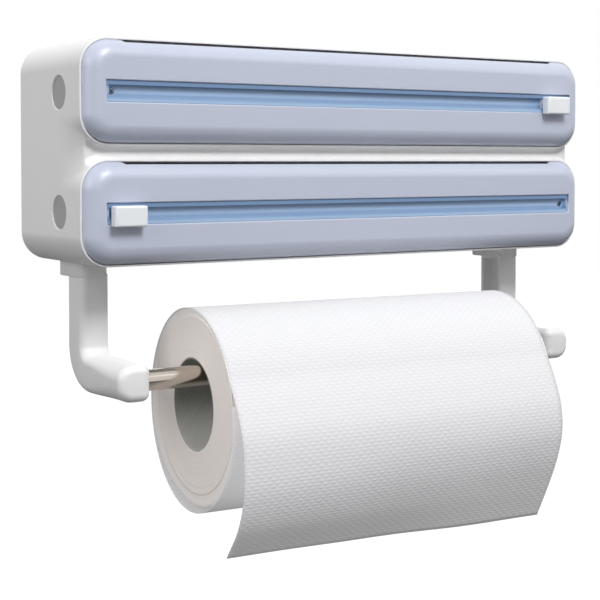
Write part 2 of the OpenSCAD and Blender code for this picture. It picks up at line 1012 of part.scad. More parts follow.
// Slider head with all of its edges rounded
module slider_head() {
    near = case_d + head_low;
    far = near + slider_d;
    mid = (near + far) / 2;
    translate([0, 0, -slider_drop])
        intersection() {
            slab(slider_w, slider_h, slider_edge_r, near, far);
            side_plate(slider_w) translate([mid, 0]) rounded_rect(slider_d, slider_h, slider_edge_r);
            translate([0, -mid, -slider_h / 2])
                linear_extrude(slider_h) rounded_rect(slider_w, slider_d, slider_edge_r);
        }
}

module slider() {
    color(white)
        difference() {
            union() {
                block(foot_w, foot_h, case_d + foot_low, case_d + foot_high);
                block(neck_l, neck_h, case_d + foot_high - eps, case_d + head_low + slider_edge_r);
                slider_head();
            }
            block(slider_w, blade_t + 2 * blade_gap, case_d + blade_low, case_d + blade_high);
        }
}

module upper_slider() {
    at_pod(1) translate([upper_park, 0, 0]) slider();
}

module lower_slider() {
    at_pod(-1) translate([lower_park, 0, 0]) slider();
}

// Double-ended blade that lies across the slider's neck
module blade() {
    half = neck_l / 2 + blade_reach;
    near = -case_d - blade_low;
    far = -case_d - blade_high;
    color(steel)
        translate([0, 0, -blade_t / 2])
            linear_extrude(blade_t)
                polygon([
                    [-half, near], [half, near],
                    [half - blade_bevel, far], [-half + blade_bevel, far]
                ]);
}

module upper_blade() {
    at_pod(1) translate([upper_park, 0, 0]) blade();
}

module lower_blade() {
    at_pod(-1) translate([lower_park, 0, 0]) blade();
}

// Bar

module at_bar() {
    translate([0, -bar_y, bar_z]) children();
}

module bar_tube() {
    color(chrome)
        at_bar()
            difference() {
                rod(bar_r, -bar_end, tube_end);
                rod(bore_bar_r, bar_bore_end, tube_end + eps);
            }
}

module bar_plunger() {
    head_start = tube_end + plunger_travel + tube_gap;
    color(chrome)
        at_bar() {
            rod(plunger_r, rod_start, head_start + eps);
            rod(bar_r, head_start, bar_end);
        }
}

module bar_spring() {
    color(steel)
        at_bar()
            translate([bar_bore_end + spring_gap, 0, 0])
                coil(
                    "bar spring", bar_spring_r, bar_spring_wire_r, bar_spring_turns,
                    bar_spring_l - 2 * spring_gap
                );
}

// Paper roll

// Drawn along X about the middle of the core, then turned on the bar
module at_roll() {
    translate([roll_x, -bar_y, roll_z]) rotate([0, 0, -roll_skew]) children();
}

module paper_ring(inner, outer) {
    at_roll()
        difference() {
            rod(outer, -roll_l / 2, roll_l / 2);
            rod(inner, -roll_l / 2 - eps, roll_l / 2 + eps);
        }
}

module roll_core() {
    color(board) paper_ring(core_r, core_out);
}

module paper_roll() {
    color(paper) paper_ring(core_out + slip, roll_r);
}

// Points of the loose sheet, x forwards and y up from the middle of the core
function wrap_point(a) =
    [-wrap_back + wrap_ry * cos(a), -wrap_down - wrap_rz * sin(a)];

function tail_point(t) =
    let (s = 1 - t)
    s * s * s * wrap_point(wrap_to_angle) + 3 * s * s * t * tail_lead
    + 3 * s * t * t * tail_swell + t * t * t * tail_tip;

function sheet_path() = concat(
    [for (a = [wrap_from_angle:wrap_step_angle:wrap_to_angle]) wrap_point(a)],
    [for (i = [1:tail_steps]) tail_point(i / tail_steps)]
);

// Sheet's other face, one paper thickness to the inside of its path
function inner_face(path) = [
    for (i = [0:len(path) - 1])
    let (
        before = path[max(i - 1, 0)],
        after = path[min(i + 1, len(path) - 1)],
        along = (after - before) / norm(after - before)
    )
    path[i] + paper_t * [along.y, -along.x]
];

module paper_tail() {
    path = sheet_path();
    inside = inner_face(path);
    last = len(inside) - 1;
    color(paper)
        at_roll()
            side_plate(roll_l)
                polygon(concat(path, [for (i = [0:last]) inside[last - i]]));
}

back_case();
left_arm();
right_arm();
arm_screws();
button_retainers();
upper_left_spring();
upper_right_spring();
lower_left_spring();
lower_right_spring();
upper_left_button();
upper_right_button();
lower_left_button();
lower_right_button();
upper_cover();
upper_rail();
upper_rail_screws();
upper_hinge_pins();
upper_latches();
lower_cover();
lower_rail();
lower_rail_screws();
lower_hinge_pins();
lower_latches();
upper_slider();
upper_blade();
lower_slider();
lower_blade();
bar_tube();
bar_plunger();
bar_spring();
paper_roll();
roll_core();
paper_tail();
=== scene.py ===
"""Wall-mounted kitchen roll dispenser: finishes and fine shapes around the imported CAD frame.

X runs to the right, Y towards the wall and Z up, with the origin in the middle of the wall screws.
Sizes in the classes are millimetres, as in the CAD source, and the meshes are metres.
"""

from __future__ import annotations

import json
import logging
import math
from dataclasses import dataclass, field
from enum import Enum
from functools import partial
from typing import Callable, Mapping, Sequence

import bmesh
import bpy
import numpy as np
from bpy.types import ID, Material, Node, NodeOutputs, NodeSocket, NodeTree, Object
from mathutils import Matrix, Vector

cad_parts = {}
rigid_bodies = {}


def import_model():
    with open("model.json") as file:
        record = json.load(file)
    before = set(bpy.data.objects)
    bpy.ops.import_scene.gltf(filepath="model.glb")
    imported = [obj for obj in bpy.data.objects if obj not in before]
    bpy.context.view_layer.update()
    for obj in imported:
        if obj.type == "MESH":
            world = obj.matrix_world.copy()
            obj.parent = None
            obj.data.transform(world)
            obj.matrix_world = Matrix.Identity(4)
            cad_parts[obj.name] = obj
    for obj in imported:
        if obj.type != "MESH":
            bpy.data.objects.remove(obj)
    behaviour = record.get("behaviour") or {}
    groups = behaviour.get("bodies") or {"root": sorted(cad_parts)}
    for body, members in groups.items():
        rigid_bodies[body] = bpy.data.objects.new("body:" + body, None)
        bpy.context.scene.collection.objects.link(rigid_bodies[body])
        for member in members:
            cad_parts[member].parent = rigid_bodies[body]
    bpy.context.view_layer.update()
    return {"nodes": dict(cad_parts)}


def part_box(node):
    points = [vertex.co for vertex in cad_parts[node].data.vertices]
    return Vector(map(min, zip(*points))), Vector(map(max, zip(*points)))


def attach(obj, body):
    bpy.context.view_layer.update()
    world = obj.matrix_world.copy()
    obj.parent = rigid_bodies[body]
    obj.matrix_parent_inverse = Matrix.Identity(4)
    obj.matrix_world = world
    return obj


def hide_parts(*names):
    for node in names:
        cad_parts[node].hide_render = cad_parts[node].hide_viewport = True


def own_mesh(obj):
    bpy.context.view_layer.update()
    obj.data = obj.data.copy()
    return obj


LOG = logging.getLogger("dispenser")
MM = 0.001
QUARTER = math.pi / 2
FAR = 500.0
# Height of the upper pod's middle, and depth of the lower one's.
POD_Z = 35.55
# Direction along X from each side to the middle of the case.
INWARD = {"left": 1.0, "right": -1.0}
WHITE = (1.0, 1.0, 1.0, 1.0)
# Socket numbers of a colour Mix node and of a vector Compare node.
MIX_A, MIX_B, MIX_OUT = 6, 7, 2
COMPARE_A, COMPARE_B = 4, 5

Pair = tuple[float, float]
Triple = tuple[float, float, float]
Faces = list[tuple[int, ...]]
AddNode = Callable[..., Node]


class Body(Enum):
    """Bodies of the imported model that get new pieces."""

    CASE = "case"
    UPPER_COVER = "upper_cover"
    LOWER_COVER = "lower_cover"
    BAR = "bar"
    ROLL = "paper_roll"


COVERS = {"upper": Body.UPPER_COVER, "lower": Body.LOWER_COVER}


def linear(colour: str) -> tuple[float, float, float, float]:
    """Turns an sRGB hex colour into linear light.

    Args:
        colour: Six hex digits.

    Returns:
        Linear red, green, blue and an alpha of one.
    """
    parts = [int(colour[i : i + 2], 16) / 255 for i in (0, 2, 4)]
    light = [p / 12.92 if p <= 0.04045 else ((p + 0.055) / 1.055) ** 2.4 for p in parts]
    return (light[0], light[1], light[2], 1.0)


def add_node(
    tree: NodeTree,
    kind: str,
    inputs: Mapping[str | int, object] | None = None,
    **settings: object,
) -> Node:
    """Adds a node with its settings and links.

    Args:
        tree: Tree that gets the node.
        kind: Blender's name of the node type.
        inputs: Values, or output sockets to link, by input name or number.
        **settings: Properties of the node.

    Returns:
        The new node.
    """
    node = tree.nodes.new(kind)
    for name, value in settings.items():
        setattr(node, name, value)
    for key, value in (inputs or {}).items():
        if isinstance(value, NodeSocket):
            tree.links.new(value, node.inputs[key])
        else:
            node.inputs[key].default_value = value
    return node


@dataclass(frozen=True)
class Finish:
    """Finish of a piece: one Principled shader, with what feeds it."""

    name: str

    def make(self) -> Material:
        """Builds the material.

        Returns:
            The material.
        """
        material = bpy.data.materials.new(self.name)
        material.use_nodes = True
        material.node_tree.nodes.clear()
        add = partial(add_node, material.node_tree)
        shader = add("ShaderNodeBsdfPrincipled", self.surface(add))
        add("ShaderNodeOutputMaterial", {"Surface": shader.outputs[0]})
        return material

    def surface(self, add: AddNode) -> dict[str, object]:
        """Draws the finish.

        Args:
            add: The material's add_node.

        Returns:
            Values and links of the shader.
        """
        raise NotImplementedError


@dataclass(frozen=True)
class TwoTone(Finish):
    """Finish with a main colour and a second shade, mixed by a pattern."""

    colour: str
    shade: str

    def skin(
        self,
        add: AddNode,
        pattern: NodeSocket,
        relief: NodeSocket,
        strength: float,
        depth_mm: float,
    ) -> dict[str, object]:
        """Mixes the two colours and raises the surface.

        Args:
            add: The material's add_node.
            pattern: Pattern from the shade to the main colour.
            relief: Pattern of the height.
            strength: How strongly the relief shows.
            depth_mm: Its depth.

        Returns:
            Links of the shader.
        """
        tint = add(
            "ShaderNodeMix",
            {"Factor": pattern, MIX_A: linear(self.shade), MIX_B: linear(self.colour)},
            data_type="RGBA",
        )
        bump = add(
            "ShaderNodeBump", {"Height": relief, "Strength": strength, "Distance": depth_mm * MM}
        )
        return {"Base Color": tint.outputs[MIX_OUT], "Normal": bump.outputs[0]}


@dataclass(frozen=True)
class MouldedPlastic(TwoTone):
    """Injection-moulded ABS: a satin skin with a fine spark-eroded grain and faint flow marks.

    Grain finer than a millimetre is drawn at grain_mm, so that it shows in the render.
    """

    roughness: float
    coat: float = 0.0
    coat_roughness: float = 0.35
    grain_mm: float = 0.9
    grain_depth_mm: float = 0.012
    grain_polish: float = 0.05
    flow_mm: float = 60.0
    ior: float = 1.53

    def surface(self, add: AddNode) -> dict[str, object]:
        """Draws the flow marks and the grain.

        Args:
            add: The material's add_node.

        Returns:
            Values and links of the shader.
        """
        place = add("ShaderNodeTexCoord").outputs["Object"]
        flow, grain = (
            add(
                "ShaderNodeTexNoise",
                {"Vector": place, "Scale": 1 / (size * MM), "Detail": detail},
            ).outputs[0]
            for size, detail in ((self.flow_mm, 3.0), (self.grain_mm, 2.0))
        )
        polish = add(
            "ShaderNodeMapRange",
            {
                "Value": grain,
                "To Min": self.roughness - self.grain_polish,
                "To Max": self.roughness + self.grain_polish,
            },
        )
        return {
            **self.skin(add, flow, grain, strength=0.5, depth_mm=self.grain_depth_mm),
            "Roughness": polish.outputs[0],
            "IOR": self.ior,
            "Coat Weight": self.coat,
            "Coat Roughness": self.coat_roughness,
        }


@dataclass(frozen=True)
class ClearStyrene(TwoTone):
    """Tinted clear polystyrene: glossy and half clear, with faint draw lines along its length.

    Painted light and shade across the strip leave it pale along the middle and deep blue in its
    upper edge, with a faint painted glow in the same colours. Both rails share one pattern, a pod
    apart in height. The bands give places across the strip, from its lower edge, and how deep the
    blue of the painted shade is there.
    """

    # Painted light and shade across the strip: deep blue stands for painted shade, pale for
    # painted light.
    bands: tuple[Pair, ...] = (
        (0.1, 0.1),
        (0.2, 0.55),
        (0.34, 0.5),
        (0.45, 0.0),
        (0.62, 0.1),
        (0.76, 0.9),
    )
    half_height: float = 6.1
    roughness: float = 0.2
    clear: float = 0.12
    # Strength of a painted glow in the strip's painted colours.
    painted_rail_glow: float = 0.09
    line_mm: float = 1.6
    line_depth_mm: float = 0.03
    line_stretch: Triple = (0.03, 1.0, 1.0)
    line_tint: float = 0.35
    ior: float = 1.59

    def surface(self, add: AddNode) -> dict[str, object]:
        """Draws the painted bands of light and shade, the painted glow and the draw lines.

        Args:
            add: The material's add_node.

        Returns:
            Values and links of the shader.
        """
        place = add("ShaderNodeTexCoord").outputs["Object"]
        height = add("ShaderNodeSeparateXYZ", {0: place}).outputs[2]
        for value, operation in (
            ((POD_Z - self.half_height) * MM, "SUBTRACT"),
            (2 * POD_Z * MM, "FLOORED_MODULO"),
        ):
            height = add("ShaderNodeMath", {0: height, 1: value}, operation=operation).outputs[0]
        across = add(
            "ShaderNodeMapRange", {"Value": height, "From Max": 2 * self.half_height * MM}
        )
        # Painted light and shade, pale at the lower edge and the middle, deep blue at the top.
        glow = add("ShaderNodeValToRGB", {0: across.outputs[0]})
        pale, deep = linear(self.colour), linear(self.shade)
        stops = glow.color_ramp.elements
        stops[0].color, stops[1].color = pale, deep
        for position, share in self.bands:
            stops.new(position).color = tuple(p + share * (d - p) for p, d in zip(pale, deep))
        stretch = add("ShaderNodeMapping", {"Vector": place, "Scale": self.line_stretch})
        lines = add(
            "ShaderNodeTexNoise",
            {"Vector": stretch.outputs[0], "Scale": 1 / (self.line_mm * MM), "Detail": 2.0},
        )
        tint = deep
        for factor, ends in (
            (lines.outputs[0], (MIX_A, MIX_B)),
            (self.line_tint, (MIX_B, MIX_A)),
        ):
            tint = add(
                "ShaderNodeMix",
                {"Factor": factor, ends[0]: tint, ends[1]: glow.outputs[0]},
                data_type="RGBA",
            ).outputs[MIX_OUT]
        bump = add(
            "ShaderNodeBump",
            {"Height": lines.outputs[0], "Strength": 0.3, "Distance": self.line_depth_mm * MM},
        )
        # The painted ramp also makes a faint painted glow.
        return {
            "Base Color": tint,
            "Normal": bump.outputs[0],
            "Roughness": self.roughness,
            "IOR": self.ior,
            "Transmission Weight": self.clear,
            "Emission Color": glow.outputs[0],
            "Emission Strength": self.painted_rail_glow,
        }


@dataclass(frozen=True)
class DrawnMetal(Finish):
    """Drawn or plated steel: a mirror or satin skin with hairlines along the drawing direction."""

    colour: str
    roughness: float
    hairline_mm: float = 0.5
    hairline_depth_mm: float = 0.003
    hairline_stretch: Triple = (0.02, 1.0, 1.0)
    brighter: float = 0.04
    duller: float = 0.06
    smoothest: float = 0.02

    def surface(self, add: AddNode) -> dict[str, object]:
        """Draws the hairlines.

        Args:
            add: The material's add_node.

        Returns:
            Values and links of the shader.
        """
        place = add("ShaderNodeTexCoord").outputs["Object"]
        stretch = add("ShaderNodeMapping", {"Vector": place, "Scale": self.hairline_stretch})
        hair = add(
            "ShaderNodeTexNoise",
            {"Vector": stretch.outputs[0], "Scale": 1 / (self.hairline_mm * MM), "Detail": 2.0},
        )
        polish = add(
            "ShaderNodeMapRange",
            {
                "Value": hair.outputs[0],
                "To Min": max(self.roughness - self.brighter, self.smoothest),
                "To Max": self.roughness + self.duller,
            },
        )
        bump = add(
            "ShaderNodeBump",
            {"Height": hair.outputs[0], "Strength": 0.4, "Distance": self.hairline_depth_mm * MM},
        )
        return {
            "Base Color": linear(self.colour),
            "Metallic": 1.0,
            "Roughness": polish.outputs[0],
            "Normal": bump.outputs[0],
        }


@dataclass(frozen=True)
class EmbossedTissue(TwoTone):
    """Two-ply kitchen paper: matt, with rows of small pillows pressed into it.

    The pillows follow the sheet's own map, whose unit is a metre. A faint painted glow lightens
    the whole sheet, stronger near the start of the map, which lies under the tail, where it
    paints light into the shade.
    """

    pillow_mm: Pair = (5.4, 2.2)
    depth_mm: float = 0.18
    fibre_mm: float = 1.4
    fibre_share: float = 0.5
    # Painted glow: its strength everywhere and its extra strength under the tail, which fades out
    # between the places in under_mm.
    painted_glow: float = 0.125
    painted_glow_under_tail: float = 0.15
    under_mm: Pair = (45.0, 100.0)
    roughness: float = 0.95
    gloss: float = 0.1

    def surface(self, add: AddNode) -> dict[str, object]:
        """Draws the pillows, the fibres and the painted glow.

        Args:
            add: The material's add_node.

        Returns:
            Values and links of the shader.
        """
        coords = add("ShaderNodeTexCoord").outputs
        pillows = self.pillows(add, coords["UV"])
        fibre = add(
            "ShaderNodeTexNoise",
            {"Vector": coords["Object"], "Scale": 1 / (self.fibre_mm * MM), "Detail": 4.0},
        )
        height = add(
            "ShaderNodeMath",
            {0: fibre.outputs[0], 1: self.fibre_share, 2: pillows},
            operation="MULTIPLY_ADD",
        )
        # Painted glow, stronger under the tail.
        glow = add(
            "ShaderNodeMapRange",
            {
                "Value": add("ShaderNodeSeparateXYZ", {0: coords["UV"]}).outputs[1],
                "From Min": self.under_mm[0] * MM,
                "From Max": self.under_mm[1] * MM,
                "To Min": self.painted_glow + self.painted_glow_under_tail,
                "To Max": self.painted_glow,
            },
            interpolation_type="SMOOTHSTEP",
        )
        return {
            **self.skin(add, pillows, height.outputs[0], strength=0.8, depth_mm=self.depth_mm),
            "Emission Color": WHITE,
            "Emission Strength": glow.outputs[0],
            "Roughness": self.roughness,
            "Specular IOR Level": self.gloss,
        }

    def pillows(self, add: AddNode, sheet_map: NodeSocket) -> NodeSocket:
        """Draws rows of pillows, each row half a pillow aside from the last.

        Args:
            add: The material's add_node.
            sheet_map: The sheet's own map.

        Returns:
            Height of the pillows, from nought to one.
        """
        scale = (1 / (self.pillow_mm[0] * MM), 1 / (self.pillow_mm[1] * MM), 1.0)
        cells = add("ShaderNodeMapping", {"Vector": sheet_map, "Scale": scale})
        along, row, _ = add("ShaderNodeSeparateXYZ", {0: cells.outputs[0]}).outputs
        shift = row
        for inputs, operation in (
            ({}, "FLOOR"),
            ({1: 2.0}, "FLOORED_MODULO"),
            ({1: 0.5, 2: along}, "MULTIPLY_ADD"),
        ):
            shift = add("ShaderNodeMath", {0: shift, **inputs}, operation=operation).outputs[0]
        waves = []
        for wave in (shift, row):
            for inputs, operation in (
                ({1: math.tau}, "MULTIPLY"),
                ({}, "COSINE"),
                ({1: -0.5, 2: 0.5}, "MULTIPLY_ADD"),
            ):
                wave = add("ShaderNodeMath", {0: wave, **inputs}, operation=operation).outputs[0]
            waves.append(wave)
        return add("ShaderNodeMath", dict(enumerate(waves)), operation="MULTIPLY").outputs[0]


@dataclass(frozen=True)
class WoundPaperEdge(TwoTone):
    """Cut end of a wound roll: faint rings of paper layers, slightly soft and uneven.

    Layers are about 0.2 mm, and are drawn at ring_mm so that they show. The rings lie round the
    roll's centre, and forward is the level direction to its front.
    """

    centre: Triple
    forward: Triple
    ring_mm: float = 1.3
    ring_depth_mm: float = 0.08
    sway_mm: float = 3.0
    sway_length_mm: float = 25.0
    painted_glow: float = 0.1
    # Strength of a painted glow in the paper's own colours.
    roughness: float = 0.95
    gloss: float = 0.1

    def surface(self, add: AddNode) -> dict[str, object]:
        """Draws the rings and a painted glow in their colours.

        Args:
            add: The material's add_node.

        Returns:
            Values and links of the shader.
        """
        local = add(
            "ShaderNodeVectorMath",
            {
                0: add("ShaderNodeTexCoord").outputs["Object"],
                1: tuple(c * MM for c in self.centre),
            },
            operation="SUBTRACT",
        ).outputs[0]
        ahead = add("ShaderNodeVectorMath", {0: local, 1: self.forward}, operation="DOT_PRODUCT")
        above = add("ShaderNodeSeparateXYZ", {0: local})
        flat = add("ShaderNodeCombineXYZ", {0: ahead.outputs["Value"], 1: above.outputs[2]})
        radius = add("ShaderNodeVectorMath", {0: flat.outputs[0]}, operation="LENGTH")
        sway = add(
            "ShaderNodeTexNoise",
            {"Vector": local, "Scale": 1 / (self.sway_length_mm * MM), "Detail": 2.0},
        )
        swayed = add(
            "ShaderNodeMath",
            {0: sway.outputs[0], 1: self.sway_mm * MM, 2: radius.outputs["Value"]},
            operation="MULTIPLY_ADD",
        )
        rings = add(
            "ShaderNodeTexNoise",
            {"W": swayed.outputs[0], "Scale": 1 / (self.ring_mm * MM), "Detail": 3.0},
            noise_dimensions="1D",
        ).outputs[0]
        skin = self.skin(add, rings, rings, strength=0.4, depth_mm=self.ring_depth_mm)
        # The rings' colours also make a painted glow.
        return {
            **skin,
            "Emission Color": skin["Base Color"],
            "Emission Strength": self.painted_glow,
            "Roughness": self.roughness,
            "Specular IOR Level": self.gloss,
        }


@dataclass(frozen=True)
class GreyBoard(TwoTone):
    """Recycled board, wound in a spiral: matt, with flecks and a slanting ply seam.

    A painted glow lights the floor of the tube between the heights in glow_mm, standing for the
    light that would fall in at its open end. Blender's wave texture counts its bands in
    twentieths of its scale.
    """

    seam_mm: float = 62.0
    seam_share: float = 0.3
    wave_rate: float = 20.0
    fleck_mm: float = 2.0
    fleck_depth_mm: float = 0.1
    # Painted glow on the floor of the tube: its strength, colour and heights.
    glow: float = 0.16
    glow_colour: tuple[float, float, float, float] = (1.0, 0.98, 0.96, 1.0)
    glow_mm: Pair = (-150.0, -180.0)
    roughness: float = 0.9

    def surface(self, add: AddNode) -> dict[str, object]:
        """Draws the flecks, the seam and the painted glow.

        Args:
            add: The material's add_node.

        Returns:
            Values and links of the shader.
        """
        coords = add("ShaderNodeTexCoord").outputs
        flecks = add(
            "ShaderNodeTexNoise",
            {"Vector": coords["Object"], "Scale": 1 / (self.fleck_mm * MM), "Detail": 5.0},
        )
        seam = add(
            "ShaderNodeTexWave",
            {
                "Vector": coords["UV"],
                "Scale": 1 / (self.seam_mm * MM) / self.wave_rate,
                "Distortion": 0.4,
            },
            wave_type="BANDS",
            bands_direction="DIAGONAL",
            wave_profile="SAW",
        )
        mixed = add(
            "ShaderNodeMath",
            {0: seam.outputs["Fac"], 1: self.seam_share, 2: flecks.outputs[0]},
            operation="MULTIPLY_ADD",
        ).outputs[0]
        where = add("ShaderNodeNewGeometry").outputs["Position"]
        # Painted glow, from nought at the upper height to full strength at the lower one.
        light = add(
            "ShaderNodeMapRange",
            {
                "Value": add("ShaderNodeSeparateXYZ", {0: where}).outputs[2],
                "From Min": self.glow_mm[0] * MM,
                "From Max": self.glow_mm[1] * MM,
                "To Max": self.glow,
            },
            interpolation_type="SMOOTHSTEP",
        )
        return {
            **self.skin(add, mixed, mixed, strength=0.4, depth_mm=self.fleck_depth_mm),
            "Emission Color": self.glow_colour,
            "Emission Strength": light.outputs[0],
            "Roughness": self.roughness,
        }


@dataclass(frozen=True)
class PaleFloor(TwoTone):
    """Matt painted floor, nearly white to the camera, that keeps the object's shadow."""

    speck: float = 3.0
    glow: float = 0.9
    roughness: float = 0.9

    def surface(self, add: AddNode) -> dict[str, object]:
        """Draws faint specks and the glow.

        Args:
            add: The material's add_node.

        Returns:
            Values and links of the shader.
        """
        speck = add("ShaderNodeTexNoise", {"Scale": self.speck}).outputs[0]
        tint = add(
            "ShaderNodeMix",
            {"Factor": speck, MIX_A: linear(self.shade), MIX_B: linear(self.colour)},
            data_type="RGBA",
        )
        seen = add("ShaderNodeLightPath").outputs["Is Camera Ray"]
        glow = add("ShaderNodeMath", {0: seen, 1: self.glow}, operation="MULTIPLY")
        return {
            "Base Color": tint.outputs[MIX_OUT],
            "Emission Color": WHITE,
            "Emission Strength": glow.outputs[0],
            "Roughness": self.roughness,
        }


WHITE_ABS = MouldedPlastic("white_moulded_abs", "f0f0f0", "e9e9ea", 0.38)
COVER_ABS = MouldedPlastic(
    "blue_grey_moulded_abs", "c1c7d8", "bcc2d4", 0.36, coat=0.35, grain_depth_mm=0.008
)
BUTTON_ABS = MouldedPlastic("grey_moulded_abs", "a8a8a8", "a0a0a1", 0.45)
SLIDER_ABS = MouldedPlastic("slider_white_abs", "f1f4f7", "eaeef2", 0.3)
# Pale for the painted light in the rail strip, deep blue for its painted shade.
RAIL_STYRENE = ClearStyrene("blue_clear_styrene", "aecaea", "6c8cb3")
CHROME = DrawnMetal("chromed_steel_tube", "c4bbb1", 0.14)
STEEL = DrawnMetal("bright_steel", "bfc1c4", 0.25)
BLADE_STEEL = DrawnMetal("ground_blade_steel", "c8cacc", 0.2, hairline_mm=0.3)
DARK_STEEL = DrawnMetal("blackened_screw_steel", "7d8794", 0.35)
TISSUE = EmbossedTissue("embossed_kitchen_paper", "d9d9da", "d2d2d5")
FLOOR_PAINT = PaleFloor("pale_floor", "707070", "6a6a6a")


@dataclass
class Tube:
    """Rows of points, each going once round a tube, which may close on itself as a ring does."""

    rows: np.ndarray
    ring: bool = False

    def quads(self) -> Faces:
        """Lists the faces between the rows.

        Returns:
            Point numbers of each face.
        """
        count, columns = self.rows.shape[:2]
        found = []
        for i in range(count if self.ring else count - 1):
            here, after = i * columns, (i + 1) % count * columns
            for k in range(columns):
                beside = (k + 1) % columns
                found.append((here + k, after + k, after + beside, here + beside))
        return found

    def faces(self) -> Faces:
        """Lists the faces between the rows and, on an open tube, its two ends.

        Returns:
            Point numbers of each face.
        """
        if self.ring:
            return self.quads()
        count, columns = self.rows.shape[:2]
        first = range(columns)
        last = [(count - 1) * columns + k for k in reversed(first)]
        return self.quads() + [tuple(first), tuple(last)]


def join_tubes(*tubes: Tube) -> tuple[np.ndarray, Faces]:
    """Puts tubes together.

    Args:
        *tubes: The tubes.

    Returns:
        Points of all of them in millimetres, and faces.
    """
    points, faces, first = [], [], 0
    for tube in tubes:
        points.append(tube.rows.reshape(-1, 3))
        faces += [tuple(first + k for k in face) for face in tube.faces()]
        first += len(points[-1])
    return np.vstack(points), faces


def link_object(name: str, data: ID) -> Object:
    """Puts a mesh, lamp or camera in the scene, at the origin.

    Args:
        name: Name of the object.
        data: What it shows.

    Returns:
        The object.
    """
    made = bpy.data.objects.new(name, data)
    bpy.context.scene.collection.objects.link(made)
    return made


def mesh_object(
    name: str,
    points: np.ndarray,
    faces: Sequence[Sequence[int]],
    material: Material,
    uvs: np.ndarray | None = None,
) -> Object:
    """Makes a smooth object from points in millimetres.

    Args:
        name: Name of the piece.
        points: Points, one row each.
        faces: Point numbers of each face.
        material: Finish of the piece.
        uvs: A map point for each point, in metres.

    Returns:
        The object, at the origin.
    """
    mesh = bpy.data.meshes.new(name)
    mesh.from_pydata((np.asarray(points, float).reshape(-1, 3) * MM).tolist(), [], faces)
    mesh.polygons.foreach_set("use_smooth", [True] * len(mesh.polygons))
    if uvs is not None:
        layer = mesh.uv_layers.new(name="map")
        corners = np.zeros(len(mesh.loops), np.int32)
        mesh.loops.foreach_get("vertex_index", corners)
        layer.data.foreach_set("uv", np.asarray(uvs, np.float32)[corners].ravel())
    mesh.materials.append(material)
    mesh.update()
    return link_object(name, mesh)


def place_piece(piece: Object, body: Body, replaced: Sequence[str] = ()) -> None:
    """Puts a piece on its body and reports it.

    Args:
        piece: The new object.
        body: Body that it moves with.
        replaced: CAD nodes that it stands for.
    """
    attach(piece, body.value)
    if replaced:
        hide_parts(*replaced)
    LOG.info("%s rides on %s with %d faces", piece.name, body.value, len(piece.data.polygons))


def add_modifier(piece: Object, name: str, kind: str, **settings: object) -> None:
    """Adds a modifier with its settings.

    Args:
        piece: The object.
        name: Name of the modifier.
        kind: Blender's name of the modifier type.
        **settings: Properties of the modifier.
    """
    modifier = piece.modifiers.new(name, kind)
    for key, value in settings.items():
        setattr(modifier, key, value)


def start_tree(name: str, inputs: Mapping[str, str]) -> tuple[NodeTree, AddNode, NodeOutputs]:
    """Makes a geometry tree that takes a mesh and named values.

    Args:
        name: Name of the tree.
        inputs: Kinds of the values, by name.

    Returns:
        The tree, add_node for it, and the sockets of its input node.
    """
    tree = bpy.data.node_groups.new(name, "GeometryNodeTree")
    for key, kind in {"Mesh": "Geometry", **inputs}.items():
        tree.interface.new_socket(key, in_out="INPUT", socket_type=f"NodeSocket{kind}")
    tree.interface.new_socket("Mesh", in_out="OUTPUT", socket_type="NodeSocketGeometry")
    add = partial(add_node, tree)
    return tree, add, add("NodeGroupInput").outputs


def end_tree(add: AddNode, shape: NodeSocket, finish: NodeSocket) -> None:
    """Ends a geometry tree in plain mesh with a finish.

    Args:
        add: The tree's add_node.
        shape: What it has made.
        finish: Input that holds the finish.
    """
    real = add("GeometryNodeRealizeInstances", {0: shape})
    done = add("GeometryNodeSetMaterial", {"Geometry": real.outputs[0], "Material": finish})
    add("NodeGroupOutput", {0: done.outputs[0]})


def run_tree(piece: Object, tree: NodeTree, values: Mapping[str, object]) -> None:
    """Adds a geometry tree to an object as a modifier.

    Args:
        piece: The object.
        tree: The tree.
        values: Values of its inputs, by name.
    """
    modifier = piece.modifiers.new(tree.name, "NODES")
    modifier.node_group = tree
    for item in tree.interface.items_tree:
        if item.in_out == "INPUT" and item.name in values:
            modifier[item.identifier] = values[item.name]


def settle(piece: Object, crease_deg: float = 35.0, weld: float = 0.002) -> None:
    """Turns a piece's modifiers into plain mesh, with outward faces and marked creases.

    Args:
        piece: The piece.
        crease_deg: Edges that bend more than this stay sharp.
        weld: Points nearer than this are joined.
    """
    graph = bpy.context.evaluated_depsgraph_get()
    mesh = bpy.data.meshes.new_from_object(piece.evaluated_get(graph))
    piece.modifiers.clear()
    piece.data = mesh
    shape = bmesh.new()
    shape.from_mesh(mesh)
    bmesh.ops.remove_doubles(shape, verts=shape.verts, dist=weld * MM)
    bmesh.ops.recalc_face_normals(shape, faces=shape.faces)
    for face in shape.faces:
        face.smooth = True
    for edge in shape.edges:
        edge.smooth = edge.calc_face_angle(math.pi) < math.radians(crease_deg)
    shape.to_mesh(mesh)
    shape.free()
    mesh.update()


@dataclass(frozen=True)
class Region:
    """Box that chooses edges of a CAD node by their distances from the middle along each axis."""

    low: Triple
    high: Triple

    def values(self) -> dict[str, Triple]:
        """Gives the corners in metres, as inputs of a tree."""
        low, high = (tuple(c * MM for c in corner) for corner in (self.low, self.high))
        return {"Low": low, "High": high}


@dataclass(frozen=True)
class NodeLook:
    """Finish of the CAD nodes with certain endings to their names.

    Attributes:
        endings: The endings.
        finish: The finish.
        edge: Radius of the moulded edges.
        rim: Where the edges get that radius, if not everywhere.
        soft: Where every edge is shaded smooth.
    """

    endings: tuple[str, ...]
    finish: Finish
    edge: float = 0.0
    rim: Region | None = None
    soft: Region | None = None


